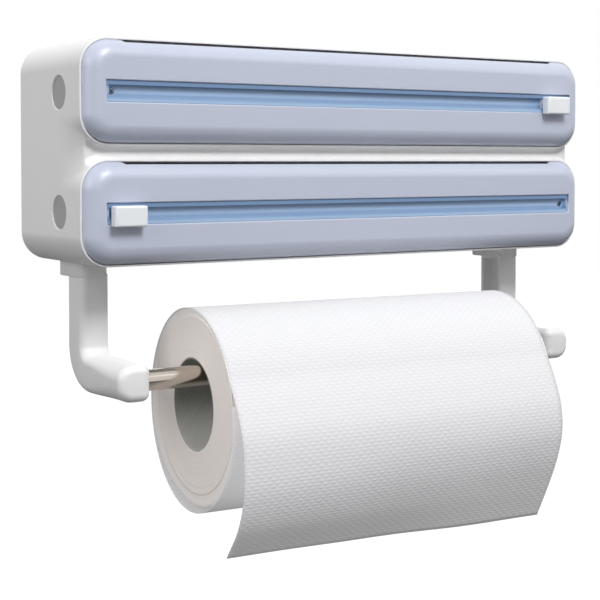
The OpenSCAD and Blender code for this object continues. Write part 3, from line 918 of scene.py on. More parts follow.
CASE_RIM = Region((0.0, 89.45, 0.0), (FAR, 89.55, FAR))
COVER_RIM = Region((0.0, 96.75, 0.0), (FAR, 96.85, FAR))
VALLEY_ENDS = Region((184.0, 50.0, 0.0), (195.5, 89.3, 12.0))
# The nodes that no ending fits are those that new pieces replace.
NODE_LOOKS = (
    NodeLook(("back_case",), WHITE_ABS, 0.35, CASE_RIM, VALLEY_ENDS),
    NodeLook(("button_retainers",), WHITE_ABS),
    NodeLook(("_cover",), COVER_ABS, 0.7, COVER_RIM),
    NodeLook(("_rail",), RAIL_STYRENE, 0.15),
    NodeLook(("_slider",), SLIDER_ABS),
    NodeLook(("_button",), BUTTON_ABS, 0.3),
    NodeLook(("bar_tube", "bar_plunger"), CHROME, 0.3),
    NodeLook(("_pins",), STEEL),
    NodeLook(("_blade",), BLADE_STEEL),
)


@dataclass
class CadDressing:
    """Finishes and softened edges of the CAD nodes that stay in view."""

    nodes: Mapping[str, Object]
    crease_deg: float = 32.0
    weld: float = 0.004

    def dress(self) -> None:
        """Gives each node its finish, its smooth shading and its moulded edges."""
        shading, rims = self.shading_tree(), self.rim_tree()
        crease = math.radians(self.crease_deg)
        finishes = dict.fromkeys(look.finish for look in NODE_LOOKS)
        materials = {finish: finish.make() for finish in finishes}
        for look in NODE_LOOKS:
            soft = look.soft.values() if look.soft else {}
            for name, node in self.nodes.items():
                if not name.endswith(look.endings):
                    continue
                node.data.materials.clear()
                node.data.materials.append(materials[look.finish])
                run_tree(node, shading, {"Weld": self.weld * MM, "Crease": crease, **soft})
                bevel = {"segments": 2, "limit_method": "ANGLE", "angle_limit": crease}
                if look.rim:
                    run_tree(node, rims, {"Crease": crease, **look.rim.values()})
                    bevel = {"segments": 4, "limit_method": "WEIGHT", "use_clamp_overlap": False}
                if look.edge:
                    add_modifier(node, "moulded_edge", "BEVEL", width=look.edge * MM, **bevel)
                add_modifier(node, "even_normals", "WEIGHTED_NORMAL", keep_sharp=True)
                LOG.info("%s is dressed in %s", name, look.finish.name)

    def bends(self, add: AddNode, crease: NodeSocket, operation: str) -> NodeSocket:
        """Compares the angles of edges with a crease angle.

        Args:
            add: The tree's add_node.
            crease: Input that holds the crease angle.
            operation: Blender's name of the comparison.

        Returns:
            True for each edge that passes.
        """
        angle = add("GeometryNodeInputMeshEdgeAngle")
        test = add(
            "FunctionNodeCompare",
            {0: angle.outputs[0], 1: crease},
            data_type="FLOAT",
            operation=operation,
        )
        return test.outputs[0]

    def lies_in(self, add: AddNode, entry: NodeOutputs) -> NodeSocket:
        """Tests whether edges lie in the region of a tree's Low and High inputs.

        Args:
            add: The tree's add_node.
            entry: Sockets of its input node.

        Returns:
            True for each edge in the region.
        """
        place = add("GeometryNodeInputPosition")
        around = add("ShaderNodeVectorMath", {0: place.outputs[0]}, operation="ABSOLUTE")
        tests = [
            add(
                "FunctionNodeCompare",
                {COMPARE_A: around.outputs[0], COMPARE_B: entry[corner]},
                data_type="VECTOR",
                mode="ELEMENT",
                operation=operation,
            ).outputs[0]
            for corner, operation in (("Low", "GREATER_EQUAL"), ("High", "LESS_EQUAL"))
        ]
        both = add("FunctionNodeBooleanMath", dict(enumerate(tests)), operation="AND")
        return both.outputs[0]

    def rim_tree(self) -> NodeTree:
        """Builds the tree that marks the sharp edges of a region for a bevel.

        Returns:
            A geometry tree with inputs for the region and the crease angle.
        """
        tree, add, entry = start_tree(
            "chosen_edges", {"Low": "Vector", "High": "Vector", "Crease": "Float"}
        )
        tests = [self.bends(add, entry["Crease"], "GREATER_THAN"), self.lies_in(add, entry)]
        chosen = add("FunctionNodeBooleanMath", dict(enumerate(tests)), operation="AND")
        marked = add(
            "GeometryNodeStoreNamedAttribute",
            {
                "Geometry": entry["Mesh"],
                "Selection": chosen.outputs[0],
                "Name": "bevel_weight_edge",
                "Value": 1.0,
            },
            data_type="FLOAT",
            domain="EDGE",
        )
        add("NodeGroupOutput", {0: marked.outputs[0]})
        return tree

    def shading_tree(self) -> NodeTree:
        """Builds the tree that joins a node's triangles and shades its round faces smooth.

        Returns:
            A geometry tree with inputs for the weld distance, the crease angle and the region
            where every edge is shaded smooth.
        """
        tree, add, entry = start_tree(
            "soft_shading",
            {"Weld": "Float", "Crease": "Float", "Low": "Vector", "High": "Vector"},
        )
        joined = add(
            "GeometryNodeMergeByDistance", {"Geometry": entry["Mesh"], "Distance": entry["Weld"]}
        )
        tests = [self.lies_in(add, entry), self.bends(add, entry["Crease"], "LESS_THAN")]
        smooth = add("FunctionNodeBooleanMath", dict(enumerate(tests)), operation="OR")
        shape = joined.outputs[0]
        for domain, choice in (("FACE", True), ("EDGE", smooth.outputs[0])):
            shape = add(
                "GeometryNodeSetShadeSmooth",
                {"Geometry": shape, "Shade Smooth": choice},
                domain=domain,
            ).outputs[0]
        add("NodeGroupOutput", {0: shape})
        return tree


@dataclass
class SnapLatches:
    """Springy tongues behind the covers, each pushed off its catch by the button beside it.

    Attributes:
        nodes: The CAD nodes.
        give: How far a pressed stem moves the tongue.
        lean_deg: Slope of the bend, from the line of the tongue.
        stem_y: Front edge of the stems.
        hook: Reach of the hook at the tip.
        thick: Thickness of a tongue.
        edge: Radius of the moulded edges.
        weld: Points of the CAD node nearer than this are joined.
        flat_deg: Faces that bend less than this become one.
    """

    nodes: Mapping[str, Object]
    give: float = 2.8
    lean_deg: float = 62.0
    stem_y: float = -62.5
    hook: float = 2.1
    thick: float = 1.6
    edge: float = 0.3
    weld: float = 0.004
    flat_deg: float = 1.0

    def build(self) -> None:
        """Makes the two tongues of each cover."""
        finish = COVER_ABS.make()
        for level, body in COVERS.items():
            for side, inward in INWARD.items():
                piece = self.tongue(f"{level}_{side}_latch", f"{level}_latches", inward)
                piece.data.materials.clear()
                piece.data.materials.append(finish)
                place_piece(piece, body, [f"{level}_latches"])
                self.bend(piece, f"{level}_{side}_button_press", inward)

    def tongue(self, name: str, node: str, inward: float) -> Object:
        """Copies one side of the CAD node and rounds its edges as moulding does.

        Args:
            name: Name of the piece.
            node: CAD node that holds both tongues.
            inward: Direction along X to the middle of the case.

        Returns:
            The tongue.
        """
        shape = bmesh.new()
        shape.from_mesh(self.nodes[node].data)
        bmesh.ops.remove_doubles(shape, verts=shape.verts, dist=self.weld * MM)
        far_side = [vert for vert in shape.verts if vert.co.x * inward > 0]
        bmesh.ops.delete(shape, geom=far_side, context="VERTS")
        flat = math.radians(self.flat_deg)
        bmesh.ops.dissolve_limit(shape, angle_limit=flat, verts=shape.verts, edges=shape.edges)
        mesh = bpy.data.meshes.new(name)
        shape.to_mesh(mesh)
        shape.free()
        piece = link_object(name, mesh)
        add_modifier(
            piece, "moulded_edge", "BEVEL", width=self.edge * MM, segments=2, limit_method="ANGLE"
        )
        settle(piece)
        return piece

    def bend(self, piece: Object, joint: str, inward: float) -> None:
        """Gives the tongue its own copy of its mesh.

        Args:
            piece: The tongue.
            joint: Joint of the button. Not used.
            inward: Direction along X to the middle of the case. Not used.
        """
        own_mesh(piece)


@dataclass
class CoverLips:
    """Thin lips at the ends of each cover, which close most of its running gap to the rim.

    They leave out the slit and the part below the hinge, where the cover swings inwards.

    Attributes:
        half_width: Half the width of the opening in the rim.
        half_height: Half its height.
        radius: Its corner radius.
        slit_end: Where the slit ends, from the middle.
        foot: Height of the lip's lower end over the opening's lower edge.
        band: Distances of its edges from the opening.
        depth: Its front and back along Y.
        steps: Points in each corner.
    """

    half_width: float = 193.8
    half_height: float = 30.25
    radius: float = 16.8
    slit_end: float = 170.0
    foot: float = 7.7
    band: Pair = (0.06, 1.0)
    depth: Pair = (-89.42, -89.0)
    steps: int = 14

    def build(self) -> None:
        """Makes one piece for each cover, with a strip at either end."""
        finish = COVER_ABS.make()
        for level, pod_z in (("upper", POD_Z), ("lower", -POD_Z)):
            strip = self.strip(pod_z)
            ends = join_tubes(Tube(strip), Tube(strip * (-1, 1, 1)))
            piece = mesh_object(f"{level}_cover_lip", *ends, finish)
            settle(piece)
            place_piece(piece, COVERS[level])

    def strip(self, pod_z: float) -> np.ndarray:
        """Sweeps the lip's section round the right end of an opening.

        Args:
            pod_z: Height of the opening's middle.

        Returns:
            Points by place along the strip and by corner of its section.
        """
        corner_x = self.half_width - self.radius
        corner_z = self.half_height - self.radius
        start = math.asin(self.foot / self.radius - 1)
        path = [(corner_x, -corner_z, turn) for turn in np.linspace(start, 0, self.steps)]
        path += [(corner_x, corner_z, turn) for turn in np.linspace(0, QUARTER, self.steps)]
        path.append((self.slit_end, corner_z, QUARTER))
        near, far = self.band
        front, back = self.depth
        rows = []
        for x, z, turn in path:
            for inset, y in ((near, front), (far, front), (far, back), (near, back)):
                out = self.radius - inset
                rows.append((x + out * math.cos(turn), y, pod_z + z + out * math.sin(turn)))
        return np.array(rows).reshape(len(path), -1, 3)


def rounded_outline(low: Pair, high: Pair, radii: Sequence[float], steps: int = 9) -> list[Pair]:
    """Draws a rectangle with rounded corners.

    Args:
        low: Lowest corner.
        high: Highest corner.
        radii: Corner radii, from the lower right corner anticlockwise.
        steps: Points in each corner.

    Returns:
        Points, anticlockwise from the lower right corner.
    """
    points = []
    corners = ((high[0], low[1]), (high[0], high[1]), (low[0], high[1]), (low[0], low[1]))
    signs = ((-1, 1), (-1, -1), (1, -1), (1, 1))
    for number, (corner, sign, r) in enumerate(zip(corners, signs, radii)):
        x, y = (c + s * r for c, s in zip(corner, sign))
        for turn in np.radians(np.linspace(-90, 0, steps) + 90 * number):
            points.append((x + r * math.cos(turn), y + r * math.sin(turn)))
    return points


def circle(points: int) -> np.ndarray:
    """Gives evenly spaced angles once round, in radians."""
    return np.linspace(0, math.tau, points, endpoint=False)


@dataclass(frozen=True)
class Station:
    """Place on an arm's centre line, with the shape that the arm has there.

    Attributes:
        y: Place along Y.
        z: Height.
        turn: How far the line has turned to the front, in radians.
        end: Share of the foot's full form.
        notch: Depth of the hollow in the inner face.
        inset: Distance that the outline has shrunk in the rounded end.
    """

    y: float
    z: float
    turn: float = 0.0
    end: float = 0.0
    notch: float = 0.0
    inset: float = 0.0


@dataclass
class SupportArms:
    """Two moulded arms under the case: flange plate, leg, bend and a rounded foot for the bar.

    The pairs of corner radii hold for the leg and for the foot's end.
    """

    arm_x: float = 167.75
    width: float = 18.3
    depth: float = 22.0
    back_y: float = -27.4
    plate_y: Pair = (-50.1, -15.0)
    plate_z: Pair = (-76.2, -67.0)
    plate_lip: float = 0.7
    plate_r: float = 6.0
    # Heights over the plate's lower face, and how far its outline is drawn in there.
    plate_edge: tuple[Pair, ...] = ((0.0, 0.7), (0.2, 0.2), (0.7, 0.0))
    # How far the leg reaches into the plate.
    root: float = 2.0
    bar_y: float = -91.5
    bar_z: float = -134.8
    bend_in: float = 6.0
    foot_y: float = -103.0
    flare: float = 2.4
    cap_r: float = 5.0
    outer_r: Pair = (5.0, 9.0)
    inner_r: Pair = (1.5, 5.0)
    least_r: float = 0.8
    notch_half: float = 8.0
    notch_deep: float = 9.0
    notch_soft: float = 0.5
    # The hollow starts and ends within this length, and shrinks to a slit outside.
    notch_step: float = 0.4
    notch_slit: float = 0.03
    # Solid lengths under the plate, and from the hollow's end to the bar.
    notch_top: float = 1.4
    notch_front: float = 9.5
    socket_r: float = 6.7
    socket_deep: float = 8.0
    # How far the tool stands out of the foot.
    socket_over: float = 2.0
    socket_sides: int = 56
    # Places where the even rows of the leg and of the foot's end start, past the hollow's ends.
    leg_start: float = 4.0
    end_start: float = 2.0
    leg_rows: int = 7
    bend_rows: int = 19
    foot_rows: int = 9
    end_rows: int = 6
    cap_rows: int = 8

    def build(self) -> None:
        """Makes both arms."""
        finish = WHITE_ABS.make()
        left = mesh_object("left_arm_shell", *join_tubes(self.sweep(), self.plate()), finish)
        tool = mesh_object("socket_tool", *join_tubes(self.socket()), finish)
        add_modifier(
            left, "socket", "BOOLEAN", operation="DIFFERENCE", solver="EXACT", object=tool
        )
        settle(left)
        bpy.data.objects.remove(tool)
        right = link_object("right_arm_shell", left.data.copy())
        right.data.transform(Matrix.Scale(-1, 4, (1.0, 0.0, 0.0)))
        right.data.flip_normals()
        place_piece(left, Body.CASE, ["left_arm"])
        place_piece(right, Body.CASE, ["right_arm"])

    def stations(self) -> list[Station]:
        """Lists the places along the centre line, from the plate to the foot's end.

        Returns:
            The places.
        """
        middle = self.back_y - self.depth / 2
        bend = self.bend_in + self.depth / 2
        bend_y, bend_z = middle - bend, self.bar_z + bend
        plate, deep = self.plate_z[0], self.notch_deep
        solid = plate - self.notch_top
        found = [Station(middle, plate + self.root), Station(middle, solid)]
        leg = np.linspace(plate - self.leg_start, bend_z, self.leg_rows)
        for z in (solid - self.notch_step, *leg):
            found.append(Station(middle, z, notch=deep))
        for turn in np.linspace(0, QUARTER, self.bend_rows)[1:]:
            y, z = bend_y + bend * math.cos(turn), bend_z - bend * math.sin(turn)
            found.append(Station(y, z, turn, notch=deep))
        notch_end = self.bar_y + self.notch_front
        for y in np.linspace(bend_y, notch_end, self.foot_rows)[1:]:
            found.append(self.foot_station(y, deep))
        found.append(self.foot_station(notch_end - self.notch_step))
        end = self.foot_y + self.cap_r
        for y in np.linspace(notch_end - self.end_start, end, self.end_rows):
            found.append(self.foot_station(y))
        for turn in np.linspace(0, QUARTER, self.cap_rows)[1:]:
            y = self.foot_y + self.cap_r * (1 - math.sin(turn))
            found.append(self.foot_station(y, inset=self.cap_r * (1 - math.cos(turn))))
        return found

    def foot_station(self, y: float, notch: float = 0.0, inset: float = 0.0) -> Station:
        """Makes a station on the foot, which swells towards its end.

        Args:
            y: Place along the foot.
            notch: Depth of the hollow in the inner face.
            inset: Distance that the outline has shrunk in the rounded end.

        Returns:
            The station.
        """
        start = self.back_y - self.depth - self.bend_in
        share = min(1.0, (start - y) / (start - self.bar_y))
        return Station(y, self.bar_z, QUARTER, share * share * (3 - 2 * share), notch, inset)

    def outline(self, station: Station) -> np.ndarray:
        """Draws an arm's section: outward from the bend's middle, then outward along X.

        Args:
            station: Place of the section.

        Returns:
            Points of the section.
        """
        half = self.depth / 2 - station.inset
        low = -self.width / 2 - self.flare * station.end + station.inset
        high = self.width / 2 - station.inset
        outer, inner = (
            max(self.least_r, r[0] + (r[1] - r[0]) * station.end - station.inset)
            for r in (self.outer_r, self.inner_r)
        )
        ring = rounded_outline((-half, low), (half, high), (inner, outer, outer, inner))
        wide = min(self.notch_half, half - inner - self.least_r)
        deep = max(station.notch, self.notch_slit)
        soft = min(self.notch_soft, deep / 2)
        ring += [
            (-wide - soft, low),
            (-wide, low + soft),
            (-wide, low + deep),
            (wide, low + deep),
            (wide, low + soft),
            (wide + soft, low),
        ]
        return np.array(ring)

    def sweep(self) -> Tube:
        """Sweeps the left arm's section along its centre line.

        Returns:
            A row for each place on the line.
        """
        rows = []
        for station in self.stations():
            out, side = self.outline(station).T
            y = station.y + out * math.cos(station.turn)
            z = station.z - out * math.sin(station.turn)
            rows.append(np.column_stack([-self.arm_x - side, y, z]))
        return Tube(np.array(rows))

    def plate(self) -> Tube:
        """Shapes the left arm's flange plate, with a rounded lower edge.

        Returns:
            A row for each height, upwards.
        """
        half = self.width / 2 + self.plate_lip
        low, high = self.plate_z
        layers = []
        for z, inset in (*((low + rise, inset) for rise, inset in self.plate_edge), (high, 0.0)):
            ring = rounded_outline(
                (self.arm_x - half + inset, self.plate_y[0] + inset),
                (self.arm_x + half - inset, self.plate_y[1] - inset),
                [self.plate_r] * 4,
            )
            layers.append([(-x, y, z) for x, y in ring])
        return Tube(np.array(layers))

    def socket(self) -> Tube:
        """Shapes the tool that cuts the left arm's blind socket for the bar.

        Returns:
            A row for each end of the tool.
        """
        face = self.arm_x - self.width / 2
        turn = circle(self.socket_sides)
        y = self.bar_y + self.socket_r * np.cos(turn)
        z = self.bar_z + self.socket_r * np.sin(turn)
        depths = (face - self.flare - self.socket_over, face + self.socket_deep)
        return Tube(np.array([np.column_stack([np.full(len(turn), -x), y, z]) for x in depths]))


@dataclass(frozen=True)
class Screw:
    """Cross-head screw, with its top at the origin and its shank downwards.

    Attributes:
        head: Radius of the head.
        rim: Height of the head's rim above its seat.
        length: Length of the shank.
        dome: Height of the domed top, as a share of the head's radius like all that follow.
        rings: Radii of the top's rings.
        cross: Half the width of the cross recess.
        cross_end: How far out it reaches.
        cross_deep: How deep it is.
        cone: Height of a countersunk head's cone.
        pan_rim: Rims higher than this, in millimetres, belong to flat-seated heads.
        tip: Radius of the point, as a share of the shank's.
    """

    head: float
    rim: float
    length: float
    dome: float = 0.12
    rings: tuple[float, ...] = (
        *(0.02, 0.12, 0.2, 0.28, 0.36, 0.44, 0.52, 0.58),
        *(0.62, 0.75, 0.88, 0.96, 1.0),
    )
    cross: float = 0.13
    cross_end: float = 0.6
    cross_deep: float = 0.4
    cone: float = 0.5
    pan_rim: float = 1.0
    tip: float = 0.15
    sides: int = 48

    def shape(self) -> Tube:
        """Shapes the screw.

        Returns:
            A row for each ring, from the middle of the top.
        """
        turn = circle(self.sides)
        profile = [(self.head * share, -self.dome * self.head * share**4) for share in self.rings]
        shank, under = self.head / 2, -self.dome * self.head - self.rim
        cone = 0.0 if self.rim > self.pan_rim else self.cone * self.head
        profile += [
            (self.head, under),
            (shank, under - cone),
            (shank, under - self.length + shank),
            (self.tip * shank, under - self.length),
        ]
        rows = []
        for number, (r, z) in enumerate(profile):
            x, y = r * np.cos(turn), r * np.sin(turn)
            arm = np.minimum(np.abs(x), np.abs(y)) < self.cross * self.head
            top = number < len(self.rings) and self.rings[number] < self.cross_end
            recess = np.where(arm & top, -self.cross_deep * self.head, z)
            rows.append(np.column_stack([x, y, recess]))
        return Tube(np.array(rows))


@dataclass
class Hardware:
    """Coil springs and screws, made with geometry nodes."""

    spring_wire: float = 0.45
    spring_turns: float = 3.0
    bar_wire: float = 0.6
    bar_turns: float = 10.0
    press: float = 3.0
    plunge: float = 9.0
    coil_steps: int = 40
    wire_sides: int = 12
    rail_screw: Screw = Screw(2.2, 0.15, 3.4)
    arm_screw: Screw = Screw(3.5, 2.4, 10.0)
    seed: int = 5

    def build(self) -> None:
        """Makes the springs and the screws."""
        self.springs()
        self.screw_sets()

    def springs(self) -> None:
        """Winds the springs of the buttons and of the bar."""
        finish, tree = STEEL.make(), self.spring_tree()
        for level in COVERS:
            for side in INWARD:
                node = f"{level}_{side}_spring"
                piece = self.spring(tree, finish, node, self.spring_turns, self.spring_wire)
                place_piece(piece, Body.CASE, [node])
                self.press_spring(piece)
        piece = self.spring(tree, finish, "bar_spring", self.bar_turns, self.bar_wire)
        place_piece(piece, Body.BAR, ["bar_spring"])
        self.press_spring(piece)

    def screw_sets(self) -> None:
        """Sets the screws of the rails and of the arms."""
        tree, dark, bright = self.screw_tree(), DARK_STEEL.make(), STEEL.make()
        for level, body in COVERS.items():
            name = f"{level}_rail_screws"
            low, high = (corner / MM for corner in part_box(name))
            ends = (low.x + self.rail_screw.head, high.x - self.rail_screw.head)
            spots = [(x, low.y, (low.z + high.z) / 2) for x in ends]
            piece = self.screws(tree, dark, name, self.rail_screw, spots, (QUARTER, 0.0, 0.0))
            place_piece(piece, body, [name])
        low, high = (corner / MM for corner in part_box("arm_screws"))
        across, along = (
            (low[axis] + self.arm_screw.head, high[axis] - self.arm_screw.head) for axis in (0, 1)
        )
        spots = [(x, y, high.z) for x in across for y in along]
        piece = self.screws(tree, bright, "arm_screws", self.arm_screw, spots, (0.0, 0.0, 0.0))
        place_piece(piece, Body.CASE, ["arm_screws"])

    def spring_tree(self) -> NodeTree:
        """Builds the tree that winds a coil along X.

        Returns:
            A geometry tree with inputs for the coil's sizes and finish.
        """
        sizes = dict.fromkeys(("Turns", "Radius", "Wire", "Length"), "Float")
        tree, add, entry = start_tree("coil_spring", {**sizes, "Finish": "Material"})
        line = add(
            "GeometryNodeCurveSpiral",
            {
                "Resolution": self.coil_steps,
                "Rotations": entry["Turns"],
                "Start Radius": entry["Radius"],
                "End Radius": entry["Radius"],
                "Height": entry["Length"],
            },
        )
        ring = add(
            "GeometryNodeCurvePrimitiveCircle",
            {"Resolution": self.wire_sides, "Radius": entry["Wire"]},
        )
        wire = add(
            "GeometryNodeCurveToMesh",
            {"Curve": line.outputs[0], "Profile Curve": ring.outputs[0], "Fill Caps": True},
        )
        laid = add(
            "GeometryNodeTransform", {"Geometry": wire.outputs[0], "Rotation": (0.0, QUARTER, 0.0)}
        )
        end_tree(add, laid.outputs[0], entry["Finish"])
        return tree

    def spring(
        self,
        tree: NodeTree,
        finish: Material,
        node: str,
        turns: float,
        wire: float,
    ) -> Object:
        """Winds the spring that stands for a CAD node.

        Args:
            tree: The tree of spring_tree.
            finish: Finish of the wire.
            node: Name of the CAD node.
            turns: Number of turns.
            wire: Radius of the wire.

        Returns:
            The spring as plain mesh.
        """
        low, high = (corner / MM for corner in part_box(node))
        middle = (low + high) / 2
        values = {
            "Turns": turns,
            "Radius": ((high.z - low.z) / 2 - wire) * MM,
            "Wire": wire * MM,
            "Length": (high.x - low.x - 2 * wire) * MM,
            "Finish": finish,
        }
        piece = self.grown(f"{node}_coil", tree, values, [(0.0, 0.0, 0.0)])
        start = Vector((low.x + wire, middle.y, middle.z))
        piece.data.transform(Matrix.Translation(start * MM))
        return piece

    def grown(
        self,
        name: str,
        tree: NodeTree,
        values: Mapping[str, object],
        spots: Sequence[Triple],
    ) -> Object:
        """Runs a tree on points and keeps the result as plain mesh.

        Args:
            name: Name of the piece.
            tree: Tree to run.
            values: Values of its inputs by name.
            spots: The points.

        Returns:
            The piece, at the origin.
        """
        mesh = bpy.data.meshes.new(name)
        mesh.from_pydata((np.array(spots, float) * MM).tolist(), [], [])
        piece = link_object(name, mesh)
        run_tree(piece, tree, values)
        settle(piece)
        return piece

    def press_spring(self, piece: Object) -> None:
        """Gives a spring its own copy of its mesh.

        Args:
            piece: The spring.
        """
        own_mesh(piece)

    def screw_tree(self) -> NodeTree:
        """Builds the tree that sets screws on points, each turned by chance.

        Returns:
            A geometry tree with inputs for the screw, its rotation from upright and its finish.
        """
        tree, add, entry = start_tree(
            "cross_head_screws", {"Screw": "Object", "Turn": "Vector", "Finish": "Material"}
        )
        shape = add("GeometryNodeObjectInfo", {"Object": entry["Screw"]})
        placed = add(
            "GeometryNodeInstanceOnPoints",
            {
                "Points": entry["Mesh"],
                "Instance": shape.outputs["Geometry"],
                "Rotation": entry["Turn"],
            },
        )
        spin = add(
            "FunctionNodeRandomValue", {2: 0.0, 3: QUARTER, "Seed": self.seed}, data_type="FLOAT"
        )
        about = add("ShaderNodeCombineXYZ", {2: spin.outputs[1]})
        turned = add(
            "GeometryNodeRotateInstances",
            {"Instances": placed.outputs[0], "Rotation": about.outputs[0], "Local Space": True},
        )
        end_tree(add, turned.outputs[0], entry["Finish"])
        return tree

    def screws(
        self,
        tree: NodeTree,
        finish: Material,
        node: str,
        screw: Screw,
        spots: Sequence[Triple],
        turn: Triple,
    ) -> Object:
        """Sets the screws that stand for a CAD node.

        Args:
            tree: The tree of screw_tree.
            finish: Finish of the screws.
            node: Name of the CAD node.
            screw: The screw.
            spots: Middles of the screws' tops.
            turn: Rotation from upright.

        Returns:
            The screws as one plain mesh.
        """
        master = mesh_object("master_screw", *join_tubes(screw.shape()), finish)
        values = {"Screw": master, "Turn": turn, "Finish": finish}
        piece = self.grown(f"{node}_set", tree, values, spots)
        bpy.data.objects.remove(master)
        return piece


@dataclass
class KitchenRoll:
    """Wound paper on its core, with loose outer layers and a hanging sheet.

    The wrap is an oval of half sizes wrap_half, set back and down from the roll's middle. Both
    tails give places that an end of the hanging sheet passes, to the front and up from there.
    """

    middle: Triple = (-1.5, -91.5, -153.986)
    skew_deg: float = 4.0
    length: float = 234.0
    angles: int = 160
    core_in: float = 27.6
    core_out: float = 28.6
    core_edge: float = 0.25
    core_gap: float = 0.1
    wound_r: float = 53.8
    wound_seed: int = 7
    wound_rows: int = 30
    wound_spread: float = 0.06
    wound_spans: int = 12
    lip_deep: float = 0.35
    lip_over: float = 0.6
    loose_in: float = 54.2
    loose_least: float = 0.3
    loose_seed: int = 11
    loose_rows: int = 10
    loose_spread: float = 0.12
    loose_most: float = 0.25
    loose_end: float = 0.26
    loose_under: float = 0.35
    # Angle where the layers lie furthest from the outer sheet, half its range, and the distance.
    away_deg: Pair = (252.0, 62.0)
    away: float = 5.2
    wrap_back: float = 5.0
    wrap_down: float = 4.0
    wrap_half: Pair = (60.3, 63.0)
    wrap_deg: Pair = (-10.0, 335.0)
    wrap_step_deg: float = 2.5
    sheet_t: float = 0.5
    sheet_columns: int = 61
    tail_steps: int = 48
    left_tail: tuple[Pair, ...] = (
        (59.7, 6.5),
        (67.0, -9.7),
        (69.3, -26.8),
        (68.4, -43.8),
        (61.5, -62.5),
        (45.5, -83.5),
    )
    right_tail: tuple[Pair, ...] = (
        (58.6, 6.5),
        (65.0, -9.5),
        (66.5, -26.0),
        (62.5, -43.5),
        (54.0, -63.0),
        (41.0, -88.0),
    )
    # Height, waves across the sheet in radians, and start of each ripple in the tail.
    ripples: tuple[Triple, ...] = ((0.9, 9.0, 0.6), (0.5, 17.0, 2.0))
    # How late the ripples grow down the tail.
    ripple_power: float = 1.5
    finishes: dict[str, Material] = field(default_factory=dict)

    @property
    def axis(self) -> np.ndarray:
        """Direction of the roll, from left to right."""
        skew = math.radians(self.skew_deg)
        return np.array([math.cos(skew), -math.sin(skew), 0.0])

    @property
    def forward(self) -> np.ndarray:
        """Level direction from the roll's middle to its front."""
        skew = math.radians(self.skew_deg)
        return np.array([-math.sin(skew), -math.cos(skew), 0.0])

    def world(self, along: np.ndarray, ahead: np.ndarray, above: np.ndarray) -> np.ndarray:
        """Turns places on the roll into the model's frame.

        Args:
            along: Distances along the axis from the middle.
            ahead: Distances to the front.
            above: Heights.

        Returns:
            Points, with the three coordinates last.
        """
        along, ahead, above = np.broadcast_arrays(along, ahead, above)
        return (
            np.array(self.middle)
            + along[..., None] * self.axis
            + ahead[..., None] * self.forward
            + above[..., None] * np.array([0.0, 0.0, 1.0])
        )

    def make_finishes(self) -> None:
        """Makes the paper and board finishes."""
        place = (self.middle, tuple(self.forward))
        self.finishes = {
            "tissue": TISSUE.make(),
            "edge": WoundPaperEdge("wound_paper_edge", "fdf6f1", "f7efea", *place).make(),
            "loose": WoundPaperEdge("loose_paper_edge", "fdf9f6", "f8f3ef", *place).make(),
            "board": GreyBoard("grey_core_board", "8a8b85", "757671").make(),
        }

    def build(self) -> None:
        """Makes every piece of the roll."""
        self.make_finishes()
        self.wound_paper()
        self.core()
        self.loose_layers()
        self.hanging_sheet()

    def revolve(self, profile: Sequence[Pair]) -> Tube:
        """Turns a closed profile round the roll's axis.

        Args:
            profile: Places along the axis, and radii.

        Returns:
            A ring, with a row for each profile point and a column for each angle.
        """
        turn = circle(self.angles)
        along, radius = np.array(profile).T[..., None]
        return Tube(self.world(along, radius * np.cos(turn), radius * np.sin(turn)), ring=True)

    def wound_paper(self) -> None:
        """Makes the tightly wound paper, whose layers stand unevenly at both ends."""
        seed = np.random.default_rng(self.wound_seed)
        half = self.length / 2
        radii = np.linspace(self.core_out + self.core_gap, self.wound_r, self.wound_rows)
        uneven = seed.normal(0, self.wound_spread, (2, len(radii)))
        uneven[:, [0, -1]] = 0
        left = [(-half - u, r) for r, u in zip(radii, uneven[0])]
        right = [(half + u, r) for r, u in zip(radii[::-1], uneven[1])]
        lip, behind = self.loose_in + self.lip_over, half - self.lip_deep
        left += [(-half, lip), (-behind, lip), (-behind, self.wound_r)]
        right = [(behind, self.wound_r), (behind, lip), (half, lip)] + right
        spans = np.linspace(-half, half, self.wound_spans)[1:-1]
        outside = [(x, self.wound_r) for x in spans]
        inside = [(x, radii[0]) for x in spans[::-1]]
        ring = self.revolve(left + outside + right + inside)
        piece = mesh_object("wound_paper", *join_tubes(ring), self.finishes["edge"])
        place_piece(piece, Body.ROLL, ["paper_roll"])

    def core(self) -> None:
        """Makes the board core with slightly rounded ends."""
        half, soft = self.length / 2, self.core_edge
        left = [
            (-half + soft, self.core_in),
            (-half, self.core_in + soft),
            (-half, self.core_out - soft),
            (-half + soft, self.core_out),
        ]
        profile = left + [(-x, r) for x, r in reversed(left)]
        around = circle(self.angles) * self.core_in * MM
        along = np.array(profile)[:, 0] * MM
        uvs = np.stack(np.meshgrid(around, along), axis=-1).reshape(-1, 2)
        shape = join_tubes(self.revolve(profile))
        piece = mesh_object("core_board", *shape, self.finishes["board"], uvs)
        place_piece(piece, Body.ROLL, ["roll_core"])

    def wrap_radius(self, turn: np.ndarray) -> np.ndarray:
        """Gives the loose wrap's distance from the roll's middle.

        A line from there meets the oval at r, where p r^2 + 2 q r + k is nought.

        Args:
            turn: Angles from the front, upwards, in radians.

        Returns:
            Distances in the same order.
        """
        a, b = self.wrap_half
        c, s = np.cos(turn), np.sin(turn)
        f0, z0 = self.wrap_back, self.wrap_down
        p = c**2 / a**2 + s**2 / b**2
        q = c * f0 / a**2 + s * z0 / b**2
        k = f0**2 / a**2 + z0**2 / b**2 - 1
        return (-q + np.sqrt(q**2 - p * k)) / p

